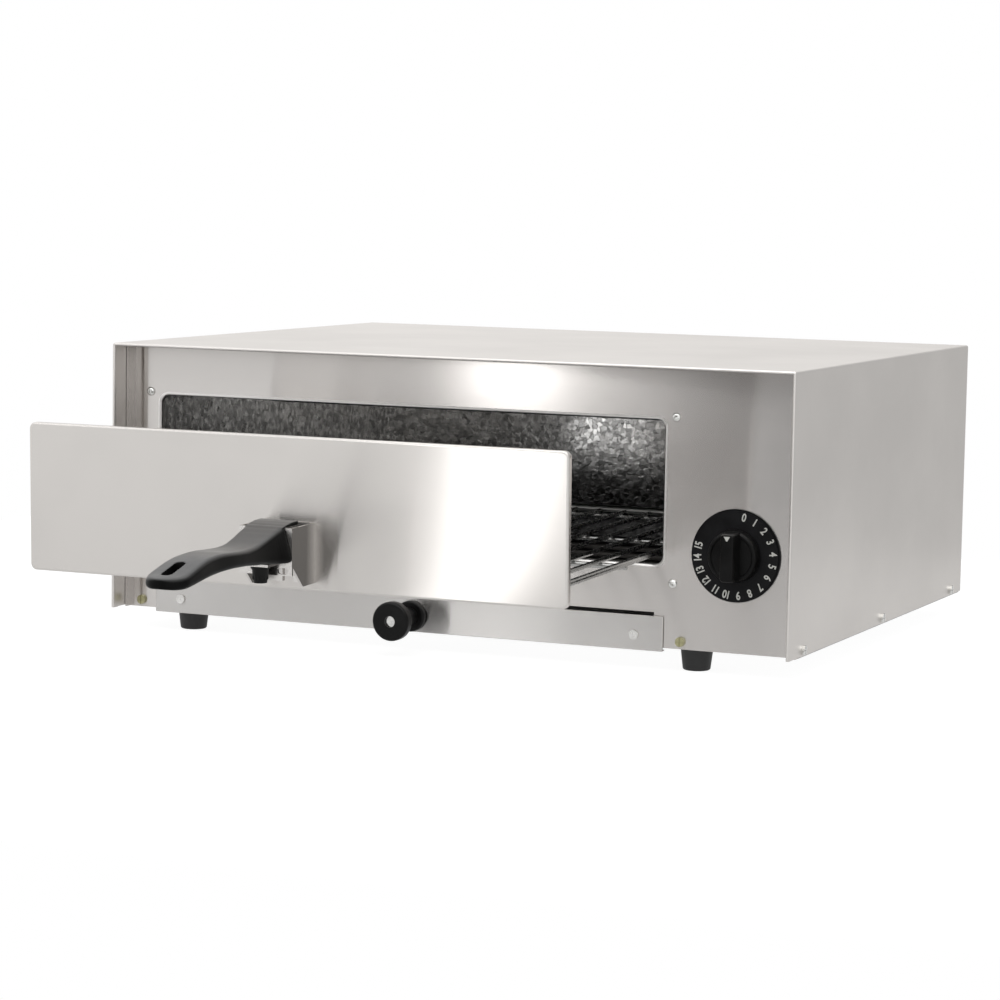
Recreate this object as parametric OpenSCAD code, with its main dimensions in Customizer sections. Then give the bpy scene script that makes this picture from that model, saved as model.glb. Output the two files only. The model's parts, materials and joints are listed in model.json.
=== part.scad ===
// Countertop pizza oven with a pull-out wire rack drawer, a crumb tray and a 15 minute timer.
// Lengths are in millimetres and angles in degrees. X runs along the front to the right, Y from
// the front to the back and Z up from the surface that the feet stand on. Until y_shift is
// added, Y = 0 is the front edge of the outer cover.

/* [Housing] */
// Width from the cover's left side to the opening
left_margin = 24.45; // [24.45:0.05:40]
// Width from the opening to the cover's right side, which holds the controls
right_margin = 91.05; // [91.05:0.05:130]
// Depth of the outer cover, front edge to back edge
body_d = 387; // [384:1:420]
// Height of the cover's side walls
body_h = 175; // [172:1:200]
// Thickness of the steel sheet of the housing
sheet = 1; // [0.8:0.1:1.5]
// How far the front panel stands back from the cover's front edge
recess = 22; // [18:0.5:30]
// Depth of the folded hem along the cover's front edges
hem_d = 6; // [4:1:10]
// How far the front panel's side edges turn forward
panel_edge = 5.5; // [4:0.5:8]
// Height of the base plate's turned-up edges
base_flange_h = 12; // [10:1:16]
// Depth of the front panel's turned-back edges
panel_return = 12; // [6:1:20]
// How far the back panel stands in from the cover's back edge
back_inset = 1; // [0.5:0.5:3]
// Height of the cover's turned-down rear lip
rear_lip_h = 10; // [8:1:14]

/* [Feet] */
// Height of a foot
foot_h = 14; // [10:1:20]
// Diameter of a foot at the top
foot_top_dia = 20.5; // [18:0.5:24]
// Diameter of a foot at the bottom
foot_bottom_dia = 17.5; // [14:0.5:18]
// Rounding of a foot's lower edge
foot_edge_r = 1.5; // [0.5:0.5:3]
// Place of the left feet, measured in from the cover's left side
foot_left_in = 42.5; // [30:0.5:60]
// Place of the right feet, measured in from the cover's right side
foot_right_in = 71.5; // [45:0.5:72]
// Place of the front feet behind the front panel, and of the rear feet before the back panel
foot_inset = 14; // [14:1:30]
// Shank diameter of the screws that hold the feet
foot_screw_dia = 4; // [3:0.5:5]

/* [Opening and cavity] */
// Width of the opening
opening_w = 354.5; // [320:0.5:400]
// Height of the opening
opening_h = 89.5; // [86:0.5:92]
// Height of the opening's lower edge above the base plate's underside
opening_sill = 52; // [51:0.5:53]
// Corner radius of the opening
opening_r = 5; // [3:0.5:8]
// Depth of the rim folded in round the opening
rim_d = 4; // [2:0.5:6]
// Height of the cavity roof's upturned front edge
roof_lip = 9; // [5:0.5:10]
// Gap between the rim and the cavity's side walls
rim_gap = 0.3; // [0.2:0.1:1]
// Thickness of the cavity's sheet
liner = 0.8; // [0.6:0.1:1]
// Inner height of the cavity above the base plate
cavity_h = 148; // [146:1:150]
// Clear gap between the cavity and the back panel
cavity_back_gap = 11; // [9:0.2:11]
// Width of the cavity's flanges
liner_flange = 12; // [11:0.1:12]
// Distance of the liner's fixing screws from the opening's edges
liner_screw_out = 7.7; // [7:0.1:8]
// Distance below the sill of the lower liner screws
liner_screw_low = 11.6; // [10:0.1:13]
// Distance above the opening of the upper liner screws
liner_screw_high = 2.2; // [2:0.1:4]

/* [Drawer] */
// How far the door plate laps over the opening on each side
door_lap = 2; // [1:0.1:4]
// Height of the door plate
door_h = 91.5; // [91:0.5:96]
// Width of the clips that hold the rack to the door
clip_w = 9; // [8:0.5:12]
// Height of those clips above the rack's front bar
clip_h = 20; // [17:1:24]
// Height of the clips' rivets above that bar
clip_rivet_rise = 13; // [10:0.5:15]
// Thickness of the clips' steel
clip_wall = 1.2; // [1:0.1:1.6]
// Corner radius of the door plate
door_r = 4; // [2:0.5:6]
// Depth of the door plate with its folded edge
door_d = 4.5; // [4:0.5:6]
// Thickness of the door's sheet
door_sheet = 1.2; // [1:0.1:1.5]
// Gap between the closed door and the front panel
door_gap = 0.5; // [0.3:0.1:1]
// Length from the door's front face to the guide rod's axis
rack_len = 350; // [345:1:351]
// Gap between the rack's outer wires and the opening's sides
rack_gap = 5.25; // [5.2:0.05:12]
// Height of the closed rack's wires above the sill
rack_rise = 10.7; // [10:0.1:14]
// Diameter of the rack's outer wires
frame_wire_dia = 4; // [3.5:0.1:4.5]
// Diameter of the rack's inner wires
wire_dia = 3; // [2.5:0.1:3.4]
// Diameter of the bars across the rack
cross_dia = 3.4; // [3:0.1:3.8]
// Number of gaps between the wires
wire_gaps = 19; // [12:1:22]
// Number of bars across the rack
cross_count = 4; // [3:1:5]
// Diameter of the guide rod
rod_dia = 6; // [5:0.5:6.5]
// Radial clearance of the guide rod in the rack's eyes
rod_clearance = 0.1; // [0.05:0.01:0.2]
// Wall of the rack's eyes
eye_wall = 2.4; // [2:0.1:3]
// Length of the rack's eyes
eye_len = 8; // [6:1:9]
// Depth of the guide grooves pressed into the cavity's side walls
groove_d = 6; // [5:0.5:7]
// Height of the guide grooves
groove_h = 7; // [7:0.1:8]
// How far the drawer stands out of the oven at rest
pull_rest = 153; // [100:1:160]
// How far the drawer comes out past its rest place
pull_more = 100; // [40:1:110]
// How far the drawer tips down on its guide rod at rest
droop = 1.46; // [0.5:0.01:1.5]

/* [Handle] */
// Width of the handle's bracket
bracket_w = 35; // [33:0.5:38]
// Depth of the bracket, door to front face
bracket_d = 30; // [26:1:34]
// Height of the bracket's side cheeks
bracket_h = 36; // [34:1:38]
// Height of the bracket's lower edge above the door's lower edge
bracket_rise = 4.9; // [4:0.1:8]
// Least clearance between the rack's wires and the bracket's lower rivets
rack_rivet_gap = 2; // [1:0.5:4]
// Height of the lower rivets above the bracket's lower edge
bracket_rivet_rise = 13.5; // [12.5:0.5:15]
// Head diameter of the bracket's and the clips' rivets
rivet_head_dia = 6; // [5:0.5:7]
// Thickness of the bracket's steel
bracket_sheet = 1.5; // [1.2:0.1:2]
// Length of the handle from the bracket's face to the tip
handle_len = 126.5; // [120:0.5:140]
// Width of the handle's top where it meets the bracket
handle_top_w = 25; // [20:0.5:30]
// Height of the handle's back end
handle_end_h = 23; // [21:0.5:25]
// Thickness of the handle's slim waist
handle_waist_h = 9.5; // [8:0.5:12]
// Width of the handle's waist
handle_waist_w = 24; // [20:0.5:26]
// How far the top of the waist lies below the handle's top
handle_dip = 9.3; // [7:0.1:11]
// Width of the handle's tip
handle_tip_w = 26.4; // [24:0.2:30]
// Thickness of the handle's tip
handle_tip_h = 6.2; // [5:0.2:8]
// How far the top of the tip lies below the top of the waist
handle_tip_dip = 7.2; // [5:0.2:9]
// Length of the hanging hole in the tip
hang_len = 20; // [16:1:24]
// Width of the hanging hole in the tip
hang_w = 6.5; // [5:0.5:9]
// Rim left between the hanging hole and the tip's end
hang_rim = 7.5; // [5:0.5:10]
// How far the handle's lip reaches back over the bracket
lip_len = 18; // [8:1:22]
// Thickness of that lip
lip_t = 2.4; // [2:0.1:3]
// Diameter of the bolt that holds the handle
bolt_dia = 5; // [4:0.5:6]
// Outer diameter of the ribbed nut under the handle
nut_dia = 11.5; // [11:0.5:13]
// Height of the ribbed nut
nut_h = 10; // [8:0.5:11]

/* [Crumb tray] */
// How far the tray's front plate laps over the notch on each side
tray_plate_lap = 6.5; // [5:0.1:8]
// Height of the tray's front plate
tray_plate_h = 22; // [21:0.5:22.5]
// Depth of the front plate's fold along its lower edge
tray_plate_d = 5; // [3:0.1:5.2]
// How far the front plate reaches below the base plate
tray_plate_drop = 2.3; // [1.5:0.1:4]
// Gap between the tray's sides and the notch in the front panel that it passes
notch_gap = 3; // [2:0.1:3.5]
// Height of the notch above the base plate's underside
notch_h = 22; // [21.5:0.5:24]
// Gap between the tray's sides and the rails
rail_gap = 7.55; // [7:0.05:9]
// Depth of the tray
tray_d = 336; // [300:1:340]
// Height of the tray's walls
tray_h = 15; // [12:0.5:15]
// How far the tray pulls out
tray_pull = 250; // [150:1:260]
// Running clearance of the tray above its rails
tray_clearance = 0.3; // [0.2:0.1:0.5]
// Width of the rails' ledges
ledge_w = 12; // [10:1:16]
// Diameter of the tray knob's front disc
tray_knob_dia = 25; // [20:0.5:26]
// Diameter of the tray knob's rear disc
tray_knob_base_dia = 20; // [16:0.5:22]
// Diameter of the tray knob's neck
tray_knob_neck_dia = 12; // [10:0.5:14]
// Length of the tray knob
tray_knob_len = 34; // [28:1:38]
// Place of the tray knob, measured right from the tray's middle
tray_knob_right = 8.5; // [0:0.5:20]

/* [Timer] */
// Place of the dial, measured in from the cover's right side
dial_in = 42.5; // [38:0.5:44]
// Height of the dial's centre above the base plate's underside
dial_rise = 60.5; // [55:0.5:120]
// Diameter of the dial plate
dial_dia = 57.5; // [50:0.5:60]
// Thickness of the dial plate
dial_t = 2; // [1.5:0.1:3]
// Diameter of the knob's round base
knob_dia = 33; // [28:0.5:38]
// Height of the knob's round base
knob_base_h = 7; // [5:0.5:10]
// Height of the knob's grip above its base
grip_h = 9; // [6:0.5:12]
// Width of the knob's grip
grip_w = 9; // [7:0.5:11]
// Diameter of the timer's shaft
timer_shaft_dia = 6; // [5:0.5:7]
// Diameter of the timer's case
timer_case_dia = 46; // [40:1:50]
// Depth of the timer's case
timer_case_d = 30; // [24:1:36]

/* [Heating] */
// Diameter of the heating elements' tubes
element_dia = 7; // [6:0.5:8]
// Number of straight runs in each element
element_runs = 6; // [4:2:6]
// Distance between the runs
element_pitch = 40; // [36:1:50]
// Length of an element's straight runs
element_run = 250; // [200:1:270]
// Gap between the upper element and the cavity's roof
element_drop = 7; // [7:0.5:12]
// Height of the lower element's axis above the base plate's underside
element_rise = 31; // [30:0.5:33]
// Diameter of the ceramic bushes
bush_dia = 16; // [14:0.5:18]
// Distance of the heat shield from the cavity's side wall
shield_gap = 12; // [11.6:0.1:12.4]
// Width of the heat shield's foot
shield_foot_w = 11; // [9:0.5:11.5]
// How far that foot stays from the cavity's front and back
shield_foot_inset = 20; // [12:1:30]
// Length of the elements' terminals
terminal_len = 12; // [8:0.5:14]
// Diameter of the elements' terminals
terminal_dia = 4; // [3:0.5:5]
// Diameter of the terminals' collars
terminal_collar_dia = 7; // [6:0.5:8]
// Thickness of the terminals' collars
terminal_collar_t = 3; // [2:0.5:4]

/* [Back] */
// Bore of the gland for the mains lead
gland_bore = 8.4; // [7:0.1:9]
// Diameter of the gland's body
gland_dia = 18; // [16:0.5:20]
// How far the middle of the terminal block lies in from the back
block_inset = 60; // [50:1:80]
// Length of the terminal block
block_len = 50; // [40:1:56]
// Number of vent slots in a row
vent_count = 12; // [6:1:16]
// Height of a vent slot
vent_h = 22; // [14:1:26]
// Width of a vent slot
vent_w = 4; // [3:0.5:5]

/* [Screws] */
// Head diameter of the housing's screws
screw_head_dia = 6; // [5:0.5:7]
// Head height of the housing's screws
screw_head_h = 1.8; // [1.4:0.1:2.2]
// Shank diameter of the housing's screws
screw_dia = 3; // [2.5:0.1:3.5]
// Length of the housing's screws under the head
screw_len = 7; // [5:0.5:9]

/* [Hidden] */
$fn = 48;

body_w = left_margin + opening_w + right_margin;
base_z = foot_h;
base_top = base_z + sheet;
cover_bottom = base_top;
cover_top = cover_bottom + body_h;
panel_y = recess;
panel_back = panel_y + sheet;
back_y = body_d - back_inset - sheet;
inner_x = body_w / 2 - sheet;
roof_under = cover_top - sheet;
mid_x = -body_w / 2 + left_margin + opening_w / 2;
sill_z = base_z + opening_sill;
lintel_z = sill_z + opening_h;
cavity_half = opening_w / 2 + sheet + rim_gap;
cavity_back = back_y - cavity_back_gap - liner;
cavity_top = base_top + cavity_h;
cavity_side_bottom = base_top;

rack_z = sill_z + rack_rise;
door_w = opening_w + 2 * door_lap;
rack_w = opening_w - 2 * rack_gap - frame_wire_dia;
door_home = panel_y - door_gap - door_d;
rod_home = door_home + rack_len;
rod_y = rod_home - pull_rest;
groove_front = rod_y - pull_more - rod_dia / 2 - 0.5;
door_z = (sill_z + lintel_z - door_h) / 2;
eye_r = rod_dia / 2 + rod_clearance + eye_wall;
cross_drop = (wire_dia + cross_dia) / 2 - 0.3;
cross_first = eye_r + cross_dia / 2 + 2;
cross_last = rack_len - door_d - cross_dia / 2;

foot_left_x = -body_w / 2 + foot_left_in;
foot_right_x = body_w / 2 - foot_right_in;
foot_front_y = panel_y + foot_inset;
foot_rear_y = back_y + sheet - foot_inset - screw_head_dia;
foot_head_h = 1.9;
foot_head_dia = 7;

tray_w = 2 * (cavity_half - sheet - rail_gap);
notch_w = tray_w + 2 * notch_gap;
tray_plate_w = notch_w + 2 * tray_plate_lap;
tray_floor = base_top + foot_head_h + 1.1;
tray_plate_y = panel_y - 0.5 - sheet;
tray_plate_z = base_z - tray_plate_drop;
tray_knob_x = mid_x + tray_knob_right;
tray_knob_z = tray_plate_z + tray_plate_h / 2 - 0.5;
tray_rivet_in = 9.5;
tray_rivet_z = tray_floor + 3.1;

dial_x = body_w / 2 - dial_in;
dial_z = base_z + dial_rise;
knob_y = panel_y - dial_t - 0.3;

upper_z = cavity_top - element_drop - element_dia / 2;
lower_z = base_z + element_rise;
element_first_y = panel_back + (cavity_back - panel_back - (element_runs - 1) * element_pitch) / 2;
element_left_x = mid_x - element_run / 2;
element_right_x = mid_x + element_run / 2;
shield_x = mid_x + cavity_half + liner + shield_gap;
terminal_x = shield_x + liner + 4;

gland_x = body_w / 2 - 40;
gland_z = base_z + 34;
gland_flange_t = 3;
gland_cap_len = 6;

bracket_u = bracket_d;
rivet_row_low = rack_z + wire_dia / 2 + rack_rivet_gap + rivet_head_dia / 2;
bracket_z = max(door_z + bracket_rise, rivet_row_low - bracket_rivet_rise);
bracket_top = bracket_z + bracket_h;
tongue_z = bracket_z + 14;
handle_top = bracket_top + lip_t + 0.1;
handle_bottom = handle_top - handle_end_h;
bolt_u = bracket_u + nut_dia / 2 + 0.45;
tip_u = bracket_u + handle_len;
tip_r = handle_tip_w / 2;
waist_top = handle_top - handle_dip;
waist_bottom = waist_top - handle_waist_h;
tip_top = waist_top - handle_tip_dip;
tip_bottom = tip_top - handle_tip_h;
tip_edge = tip_top - 0.6;

back_reach = back_y + sheet + gland_flange_t + gland_cap_len;
front_reach = rod_y - (rack_len + tip_u) * cos(droop) - (tip_edge - rack_z) * sin(droop);
y_shift = -(front_reach + back_reach) / 2;

// Places a piece of the fixed housing or of the tray.
module housing() {
    translate([0, y_shift, 0])
        children();
}

// Places a piece of the drawer: its own Y = 0 is the guide rod, and it tips down round it.
module drawer() {
    translate([0, y_shift + rod_y, rack_z])
        rotate([droop, 0, 0])
            translate([0, 0, -rack_z])
                children();
}

// A box from its lowest corner to its highest corner.
module span(low, high) {
    translate(low)
        cube([high[0] - low[0], high[1] - low[1], high[2] - low[2]]);
}

// A round bar along X, Y or Z from a start point.
module bar_x(start, len, dia) {
    translate(start)
        rotate([0, 90, 0])
            cylinder(h = len, d = dia);
}

module bar_y(start, len, dia) {
    translate(start)
        rotate([-90, 0, 0])
            cylinder(h = len, d = dia);
}

module bar_z(start, len, dia) {
    translate(start)
        cylinder(h = len, d = dia);
}

// A flat outline with round corners, w wide and h high, from its lower left corner.
module rounded(w, h, r) {
    translate([r, 0])
        square([w - 2 * r, h]);
    translate([0, r])
        square([w, h - 2 * r]);
    for (x = [r, w - r], y = [r, h - r])
        translate([x, y])
            circle(r = r);
}

// A rounded plate that stands upright: w along X, h along Z, from y to y + t.
module upright(x, y, z, w, h, r, t) {
    translate([x, y + t, z])
        rotate([90, 0, 0])
            linear_extrude(height = t)
                rounded(w, h, r);
}

// A pan-head screw whose head rests on the plane at its place and whose shank runs along +Y.
module screw_y(len = screw_len, dia = screw_dia, head_dia = screw_head_dia, head_h = screw_head_h) {
    rotate([-90, 0, 0])
        difference() {
            union() {
                cylinder(h = len, d = dia);
                translate([0, 0, -head_h])
                    cylinder(h = head_h, d = head_dia);
            }
            translate([-head_dia / 2, -0.3, -head_h - 0.1])
                cube([head_dia, 0.6, 0.7]);
            translate([-0.3, -head_dia / 2, -head_h - 0.1])
                cube([0.6, head_dia, 0.7]);
        }
}

// The hole that a housing screw passes, along +Y.
module screw_hole_y(depth) {
    rotate([-90, 0, 0])
        translate([0, 0, -0.1])
            cylinder(h = depth + 0.2, d = screw_dia + 0.1);
}

// Places of the four screws that hold the liner to the front panel, as X and Z.
liner_screw_places = [
    for (side = [-1, 1], z = [sill_z - liner_screw_low, lintel_z + liner_screw_high])
        [mid_x + side * (opening_w / 2 + liner_screw_out), z]
];

// Places of the screws that hold the front and back panels to the base plate, as X.
base_screw_z = base_top + 3.7;
base_screw_out = 17.75;
base_front_x = [mid_x - notch_w / 2 - base_screw_out, mid_x + notch_w / 2 + base_screw_out];
back_screw_x = body_w / 2 - 25;
side_screw_y = [28, body_d / 2, body_d - 27];
foot_places = [
    [foot_left_x, foot_front_y],
    [foot_right_x, foot_front_y],
    [foot_left_x, foot_rear_y],
    [foot_right_x, foot_rear_y]
];

// Housing

module outer_cover() {
    color("gainsboro") housing() difference() {
        union() {
            difference() {
                span([-body_w / 2, 0, cover_bottom], [body_w / 2, body_d, cover_top]);
                span([-inner_x, -1, cover_bottom - 1], [inner_x, body_d + 1, roof_under]);
            }
            for (side = [-1, 1])
                translate([side * (inner_x - sheet / 2) - sheet / 2, 0, cover_bottom])
                    cube([sheet, hem_d, body_h - sheet]);
            span([-inner_x, 0, roof_under - sheet], [inner_x, hem_d, roof_under]);
            span([-inner_x + 10, back_y - sheet, roof_under - rear_lip_h],
                [inner_x - 10, back_y, roof_under]);
        }
        for (y = side_screw_y, side = [0, 1])
            mirror([side, 0, 0])
                translate([inner_x - 1, y, base_screw_z])
                    rotate([0, 0, -90])
                        screw_hole_y(sheet + 2);
        for (side = [-1, 1])
            translate([side * back_screw_x, back_y - sheet, roof_under - rear_lip_h / 2])
                screw_hole_y(sheet);
    }
}

module base_plate() {
    flange_top = base_top + base_flange_h;
    color("silver") housing() difference() {
        union() {
            span([-inner_x, panel_back, base_z], [inner_x, back_y, base_top]);
            for (side = [-1, 1])
                translate([side * (inner_x - sheet / 2) - sheet / 2, panel_back, base_z])
                    cube([sheet, back_y - panel_back, flange_top - base_z]);
            span([-inner_x, back_y - sheet, base_z], [inner_x, back_y, flange_top]);
            span([-inner_x, panel_back, base_z], [mid_x - notch_w / 2 - 1, panel_back + sheet, flange_top]);
            span([mid_x + notch_w / 2 + 1, panel_back, base_z], [inner_x, panel_back + sheet, flange_top]);
        }
        for (place = foot_places)
            translate([place[0], place[1], base_z - 1])
                cylinder(h = sheet + 2, d = foot_screw_dia + 0.1);
        for (x = base_front_x)
            translate([x, panel_back, base_screw_z])
                screw_hole_y(sheet);
        for (side = [-1, 1])
            translate([side * back_screw_x, back_y - sheet, base_screw_z])
                screw_hole_y(sheet);
        for (y = side_screw_y, side = [0, 1])
            mirror([side, 0, 0])
                translate([inner_x - sheet - 1, y, base_screw_z])
                    rotate([0, 0, -90])
                        screw_hole_y(sheet + 2);
    }
}

module front_panel() {
    return_bottom = base_top + base_flange_h + 1;
    color("lightgray") housing() difference() {
        union() {
            span([-inner_x, panel_y, base_z], [inner_x, panel_back, roof_under]);
            for (side = [-1, 1])
                translate([side * (inner_x - sheet / 2) - sheet / 2, panel_back, return_bottom])
                    cube([sheet, panel_return, roof_under - return_bottom]);
            for (side = [-1, 1])
                translate([side * (inner_x - sheet / 2) - sheet / 2, panel_y - panel_edge, base_z])
                    cube([sheet, panel_edge + sheet, roof_under - base_z]);
            span([-inner_x, panel_back, roof_under - sheet],
                [inner_x, panel_back + panel_return, roof_under]);
            upright(mid_x - opening_w / 2 - sheet, panel_y, sill_z - sheet, opening_w + 2 * sheet,
                opening_h + 2 * sheet, opening_r + sheet, rim_d);
        }
        upright(mid_x - opening_w / 2, panel_y - 1, sill_z, opening_w, opening_h, opening_r, rim_d + 2);
        span([mid_x - notch_w / 2, panel_y - 1, base_z - 1],
            [mid_x + notch_w / 2, panel_back + 1, base_z + notch_h]);
        for (place = liner_screw_places)
            translate([place[0], panel_y, place[1]])
                screw_hole_y(sheet);
        for (x = base_front_x)
            translate([x, panel_y, base_screw_z])
                screw_hole_y(sheet);
        bar_y([dial_x, panel_y - 1, dial_z], sheet + 2, timer_shaft_dia + 2);
        for (side = [-1, 1])
            translate([dial_x + side * 11, panel_y, dial_z])
                screw_hole_y(sheet);
    }
}

module back_panel() {
    vent_pitch = 2.5 * vent_w;
    vent_z = roof_under - rear_lip_h - 12 - vent_h;
    color("lightgray") housing() difference() {
        span([-inner_x, back_y, base_z], [inner_x, back_y + sheet, roof_under]);
        for (side = [-1, 1], i = [0 : vent_count - 1])
            translate([side * 110 + (i - (vent_count - 1) / 2) * vent_pitch - vent_w / 2, back_y - 1, vent_z])
                upright(0, 0, 0, vent_w, vent_h, vent_w / 2 - 0.01, sheet + 2);
        bar_y([gland_x, back_y - 1, gland_z], sheet + 2, gland_dia + 0.2);
        for (side = [-1, 1], z = [base_screw_z, roof_under - rear_lip_h / 2])
            translate([side * back_screw_x, back_y, z])
                screw_hole_y(sheet);
    }
}

// The right half of the cavity: a side wall with its flanges and its pressed-out guide groove,
// drawn on the +X side of X = 0.
module side_wall() {
    flange_foot = cavity_side_bottom + liner;
    difference() {
        union() {
            span([cavity_half, panel_back, cavity_side_bottom],
                [cavity_half + liner, cavity_back, cavity_top]);
            span([cavity_half, panel_back, base_top + base_flange_h + 4],
                [cavity_half + liner_flange, panel_back + liner, cavity_top]);
            span([cavity_half, cavity_back - liner, base_top + base_flange_h + 4],
                [cavity_half + liner_flange, cavity_back, cavity_top - 15]);
            span([cavity_half, panel_back + 20, cavity_side_bottom],
                [cavity_half + 10, cavity_back - 20, flange_foot]);
            span([cavity_half, groove_front - liner, rack_z - groove_h / 2 - liner],
                [cavity_half + groove_d + liner, cavity_back, rack_z + groove_h / 2 + liner]);
        }
        span([cavity_half - 1, groove_front, rack_z - groove_h / 2],
            [cavity_half + groove_d, cavity_back - liner, rack_z + groove_h / 2]);
        for (z = [sill_z - liner_screw_low, lintel_z + liner_screw_high])
            translate([opening_w / 2 + liner_screw_out, panel_back, z])
                screw_hole_y(liner);
        span([cavity_half - 1, panel_back - 1, base_z],
            [cavity_half + liner + 1, panel_back + sheet + 0.2, base_top + base_flange_h + 1]);
    }
}

module cavity_left_wall() {
    color("slategray") housing() translate([mid_x, 0, 0]) mirror([1, 0, 0]) side_wall();
}

module cavity_right_wall() {
    color("slategray") housing() difference() {
        translate([mid_x, 0, 0])
            side_wall();
        for (z = [lower_z, upper_z], i = [0, element_runs - 1])
            bar_x([mid_x + cavity_half - 1, element_first_y + i * element_pitch, z], liner + 2,
                element_dia + 1);
    }
}

module cavity_roof() {
    flange_drop = element_drop - 1;
    outer = cavity_half + liner;
    color("slategray") housing() translate([mid_x, 0, 0]) {
        span([-outer - liner, panel_back, cavity_top], [outer + liner, cavity_back, cavity_top + liner]);
        for (side = [-1, 1])
            translate([side * (outer + liner / 2) - liner / 2, panel_back + liner, cavity_top - flange_drop])
                cube([liner, cavity_back - panel_back - 3 * liner, flange_drop]);
        span([-outer - liner, panel_back, cavity_top],
            [outer + liner, panel_back + liner, cavity_top + roof_lip]);
    }
}

module cavity_back_wall() {
    outer = cavity_half + liner_flange;
    color("slategray") housing()
        span([mid_x - outer, cavity_back, base_top],
            [mid_x + outer, cavity_back + liner, cavity_top + liner]);
}

module control_heat_shield() {
    bottom = base_top;
    color("silver") housing() difference() {
        union() {
            span([shield_x, panel_back + 9, bottom],
                [shield_x + liner, cavity_back, roof_under - sheet - 0.3]);
            span([shield_x, panel_back + shield_foot_inset, bottom],
                [shield_x + shield_foot_w, cavity_back - shield_foot_inset, bottom + liner]);
        }
        for (z = [lower_z, upper_z], i = [0, element_runs - 1])
            bar_x([shield_x - 1, element_first_y + i * element_pitch, z], liner + 2, bush_dia - 4);
    }
}

// Crumb tray rails, on the cavity's side walls

module tray_rail() {
    ledge_top = tray_floor - tray_clearance;
    span([cavity_half - ledge_w, panel_back + 1, ledge_top - sheet],
        [cavity_half, cavity_back - 2, ledge_top]);
    span([cavity_half - sheet, panel_back + 1, ledge_top - sheet],
        [cavity_half, cavity_back - 2, tray_floor + tray_h]);
}

module tray_rail_left() {
    color("silver") housing() translate([mid_x, 0, 0]) mirror([1, 0, 0]) tray_rail();
}

module tray_rail_right() {
    color("silver") housing() translate([mid_x, 0, 0]) tray_rail();
}

// Heating elements

// One element: straight runs along X joined by half-round bends, with both ends to the right.
module element(z) {
    r = element_pitch / 2;
    end_x = terminal_x - 2;
    for (i = [0 : element_runs - 1]) {
        y = element_first_y + i * element_pitch;
        ends = (i == 0 || i == element_runs - 1);
        bar_x([element_left_x, y, z], (ends ? end_x : element_right_x) - element_left_x, element_dia);
    }
    for (i = [0 : 2 : element_runs - 2])
        translate([element_left_x, element_first_y + (i + 0.5) * element_pitch, z])
            rotate([0, 0, 90])
                rotate_extrude(angle = 180)
                    translate([r, 0])
                        circle(d = element_dia);
    for (i = [1 : 2 : element_runs - 3])
        translate([element_right_x, element_first_y + (i + 0.5) * element_pitch, z])
            rotate([0, 0, -90])
                rotate_extrude(angle = 180)
                    translate([r, 0])
                        circle(d = element_dia);
}

module upper_element() {
    color("dimgray") housing() element(upper_z);
}

module lower_element() {
    color("dimgray") housing() element(lower_z);
}

module upper_element_clips() {
    color("silver") housing()
        for (x = [element_left_x + 40, element_right_x - 40], i = [1, element_runs - 2])
            translate([x, element_first_y + i * element_pitch, 0])
                difference() {
                    span([-0.5, -6, upper_z - 6], [0.5, 6, cavity_top]);
                    bar_x([-1, 0, upper_z], 2, element_dia + 0.2);
                }
}

module element_rest_bars() {
    bar_h = 5;
    top = lower_z - element_dia / 2;
    color("silver") housing()
        for (x = [element_left_x + 40, element_right_x - 40]) {
            span([x, panel_back, top - bar_h], [x + 1.5, cavity_back, top]);
            span([x, panel_back, top - bar_h], [x + 10, panel_back + 1.5, top]);
        }
}

module element_bushes() {
    color("ivory") housing()
        for (z = [lower_z, upper_z], i = [0, element_runs - 1])
            translate([0, element_first_y + i * element_pitch, z])
                difference() {
                    union() {
                        bar_x([shield_x + liner, 0, 0], 3, bush_dia);
                        bar_x([shield_x - 3, 0, 0], liner + 4, bush_dia - 4.4);
                    }
                    bar_x([shield_x - 4, 0, 0], 12, element_dia + 0.2);
                }
}

module element_terminals() {
    color("gold") housing()
        for (z = [lower_z, upper_z], i = [0, element_runs - 1])
            translate([terminal_x - 2, element_first_y + i * element_pitch, z]) {
                bar_x([0, 0, 0], terminal_len, terminal_dia);
                bar_x([2, 0, 0], terminal_collar_t, terminal_collar_dia);
            }
}

// Feet

module foot(place) {
    color("black") housing() translate([place[0], place[1], 0]) difference() {
        rotate_extrude()
            difference() {
                union() {
                    polygon([
                        [0, 0], [foot_bottom_dia / 2 - foot_edge_r, 0], [foot_bottom_dia / 2, foot_edge_r],
                        [foot_top_dia / 2, foot_h], [0, foot_h]
                    ]);
                    intersection() {
                        translate([foot_bottom_dia / 2 - foot_edge_r, foot_edge_r])
                            circle(r = foot_edge_r);
                        square([foot_bottom_dia, foot_h]);
                    }
                }
                translate([-foot_top_dia, 0])
                    square([foot_top_dia, foot_h]);
            }
        translate([0, 0, foot_h / 3])
            cylinder(h = foot_h, d = foot_screw_dia + 0.1);
        translate([0, 0, -1])
            cylinder(h = 3, d = foot_bottom_dia / 3);
    }
}

module foot_front_left() {
    foot(foot_places[0]);
}

module foot_front_right() {
    foot(foot_places[1]);
}

module foot_rear_left() {
    foot(foot_places[2]);
}

module foot_rear_right() {
    foot(foot_places[3]);
}

module foot_screws() {
    color("silver") housing()
        for (place = foot_places)
            translate([place[0], place[1], base_top])
                rotate([-90, 0, 0])
                    screw_y(foot_h * 0.6, foot_screw_dia, foot_head_dia, foot_head_h);
}

// Housing screws

module liner_screws() {
    color("silver") housing()
        for (place = liner_screw_places)
            translate([place[0], panel_y, place[1]])
                screw_y();
}

module base_front_screws() {
    color("darkkhaki") housing()
        for (x = base_front_x)
            translate([x, panel_y, base_screw_z])
                screw_y();
}

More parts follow.
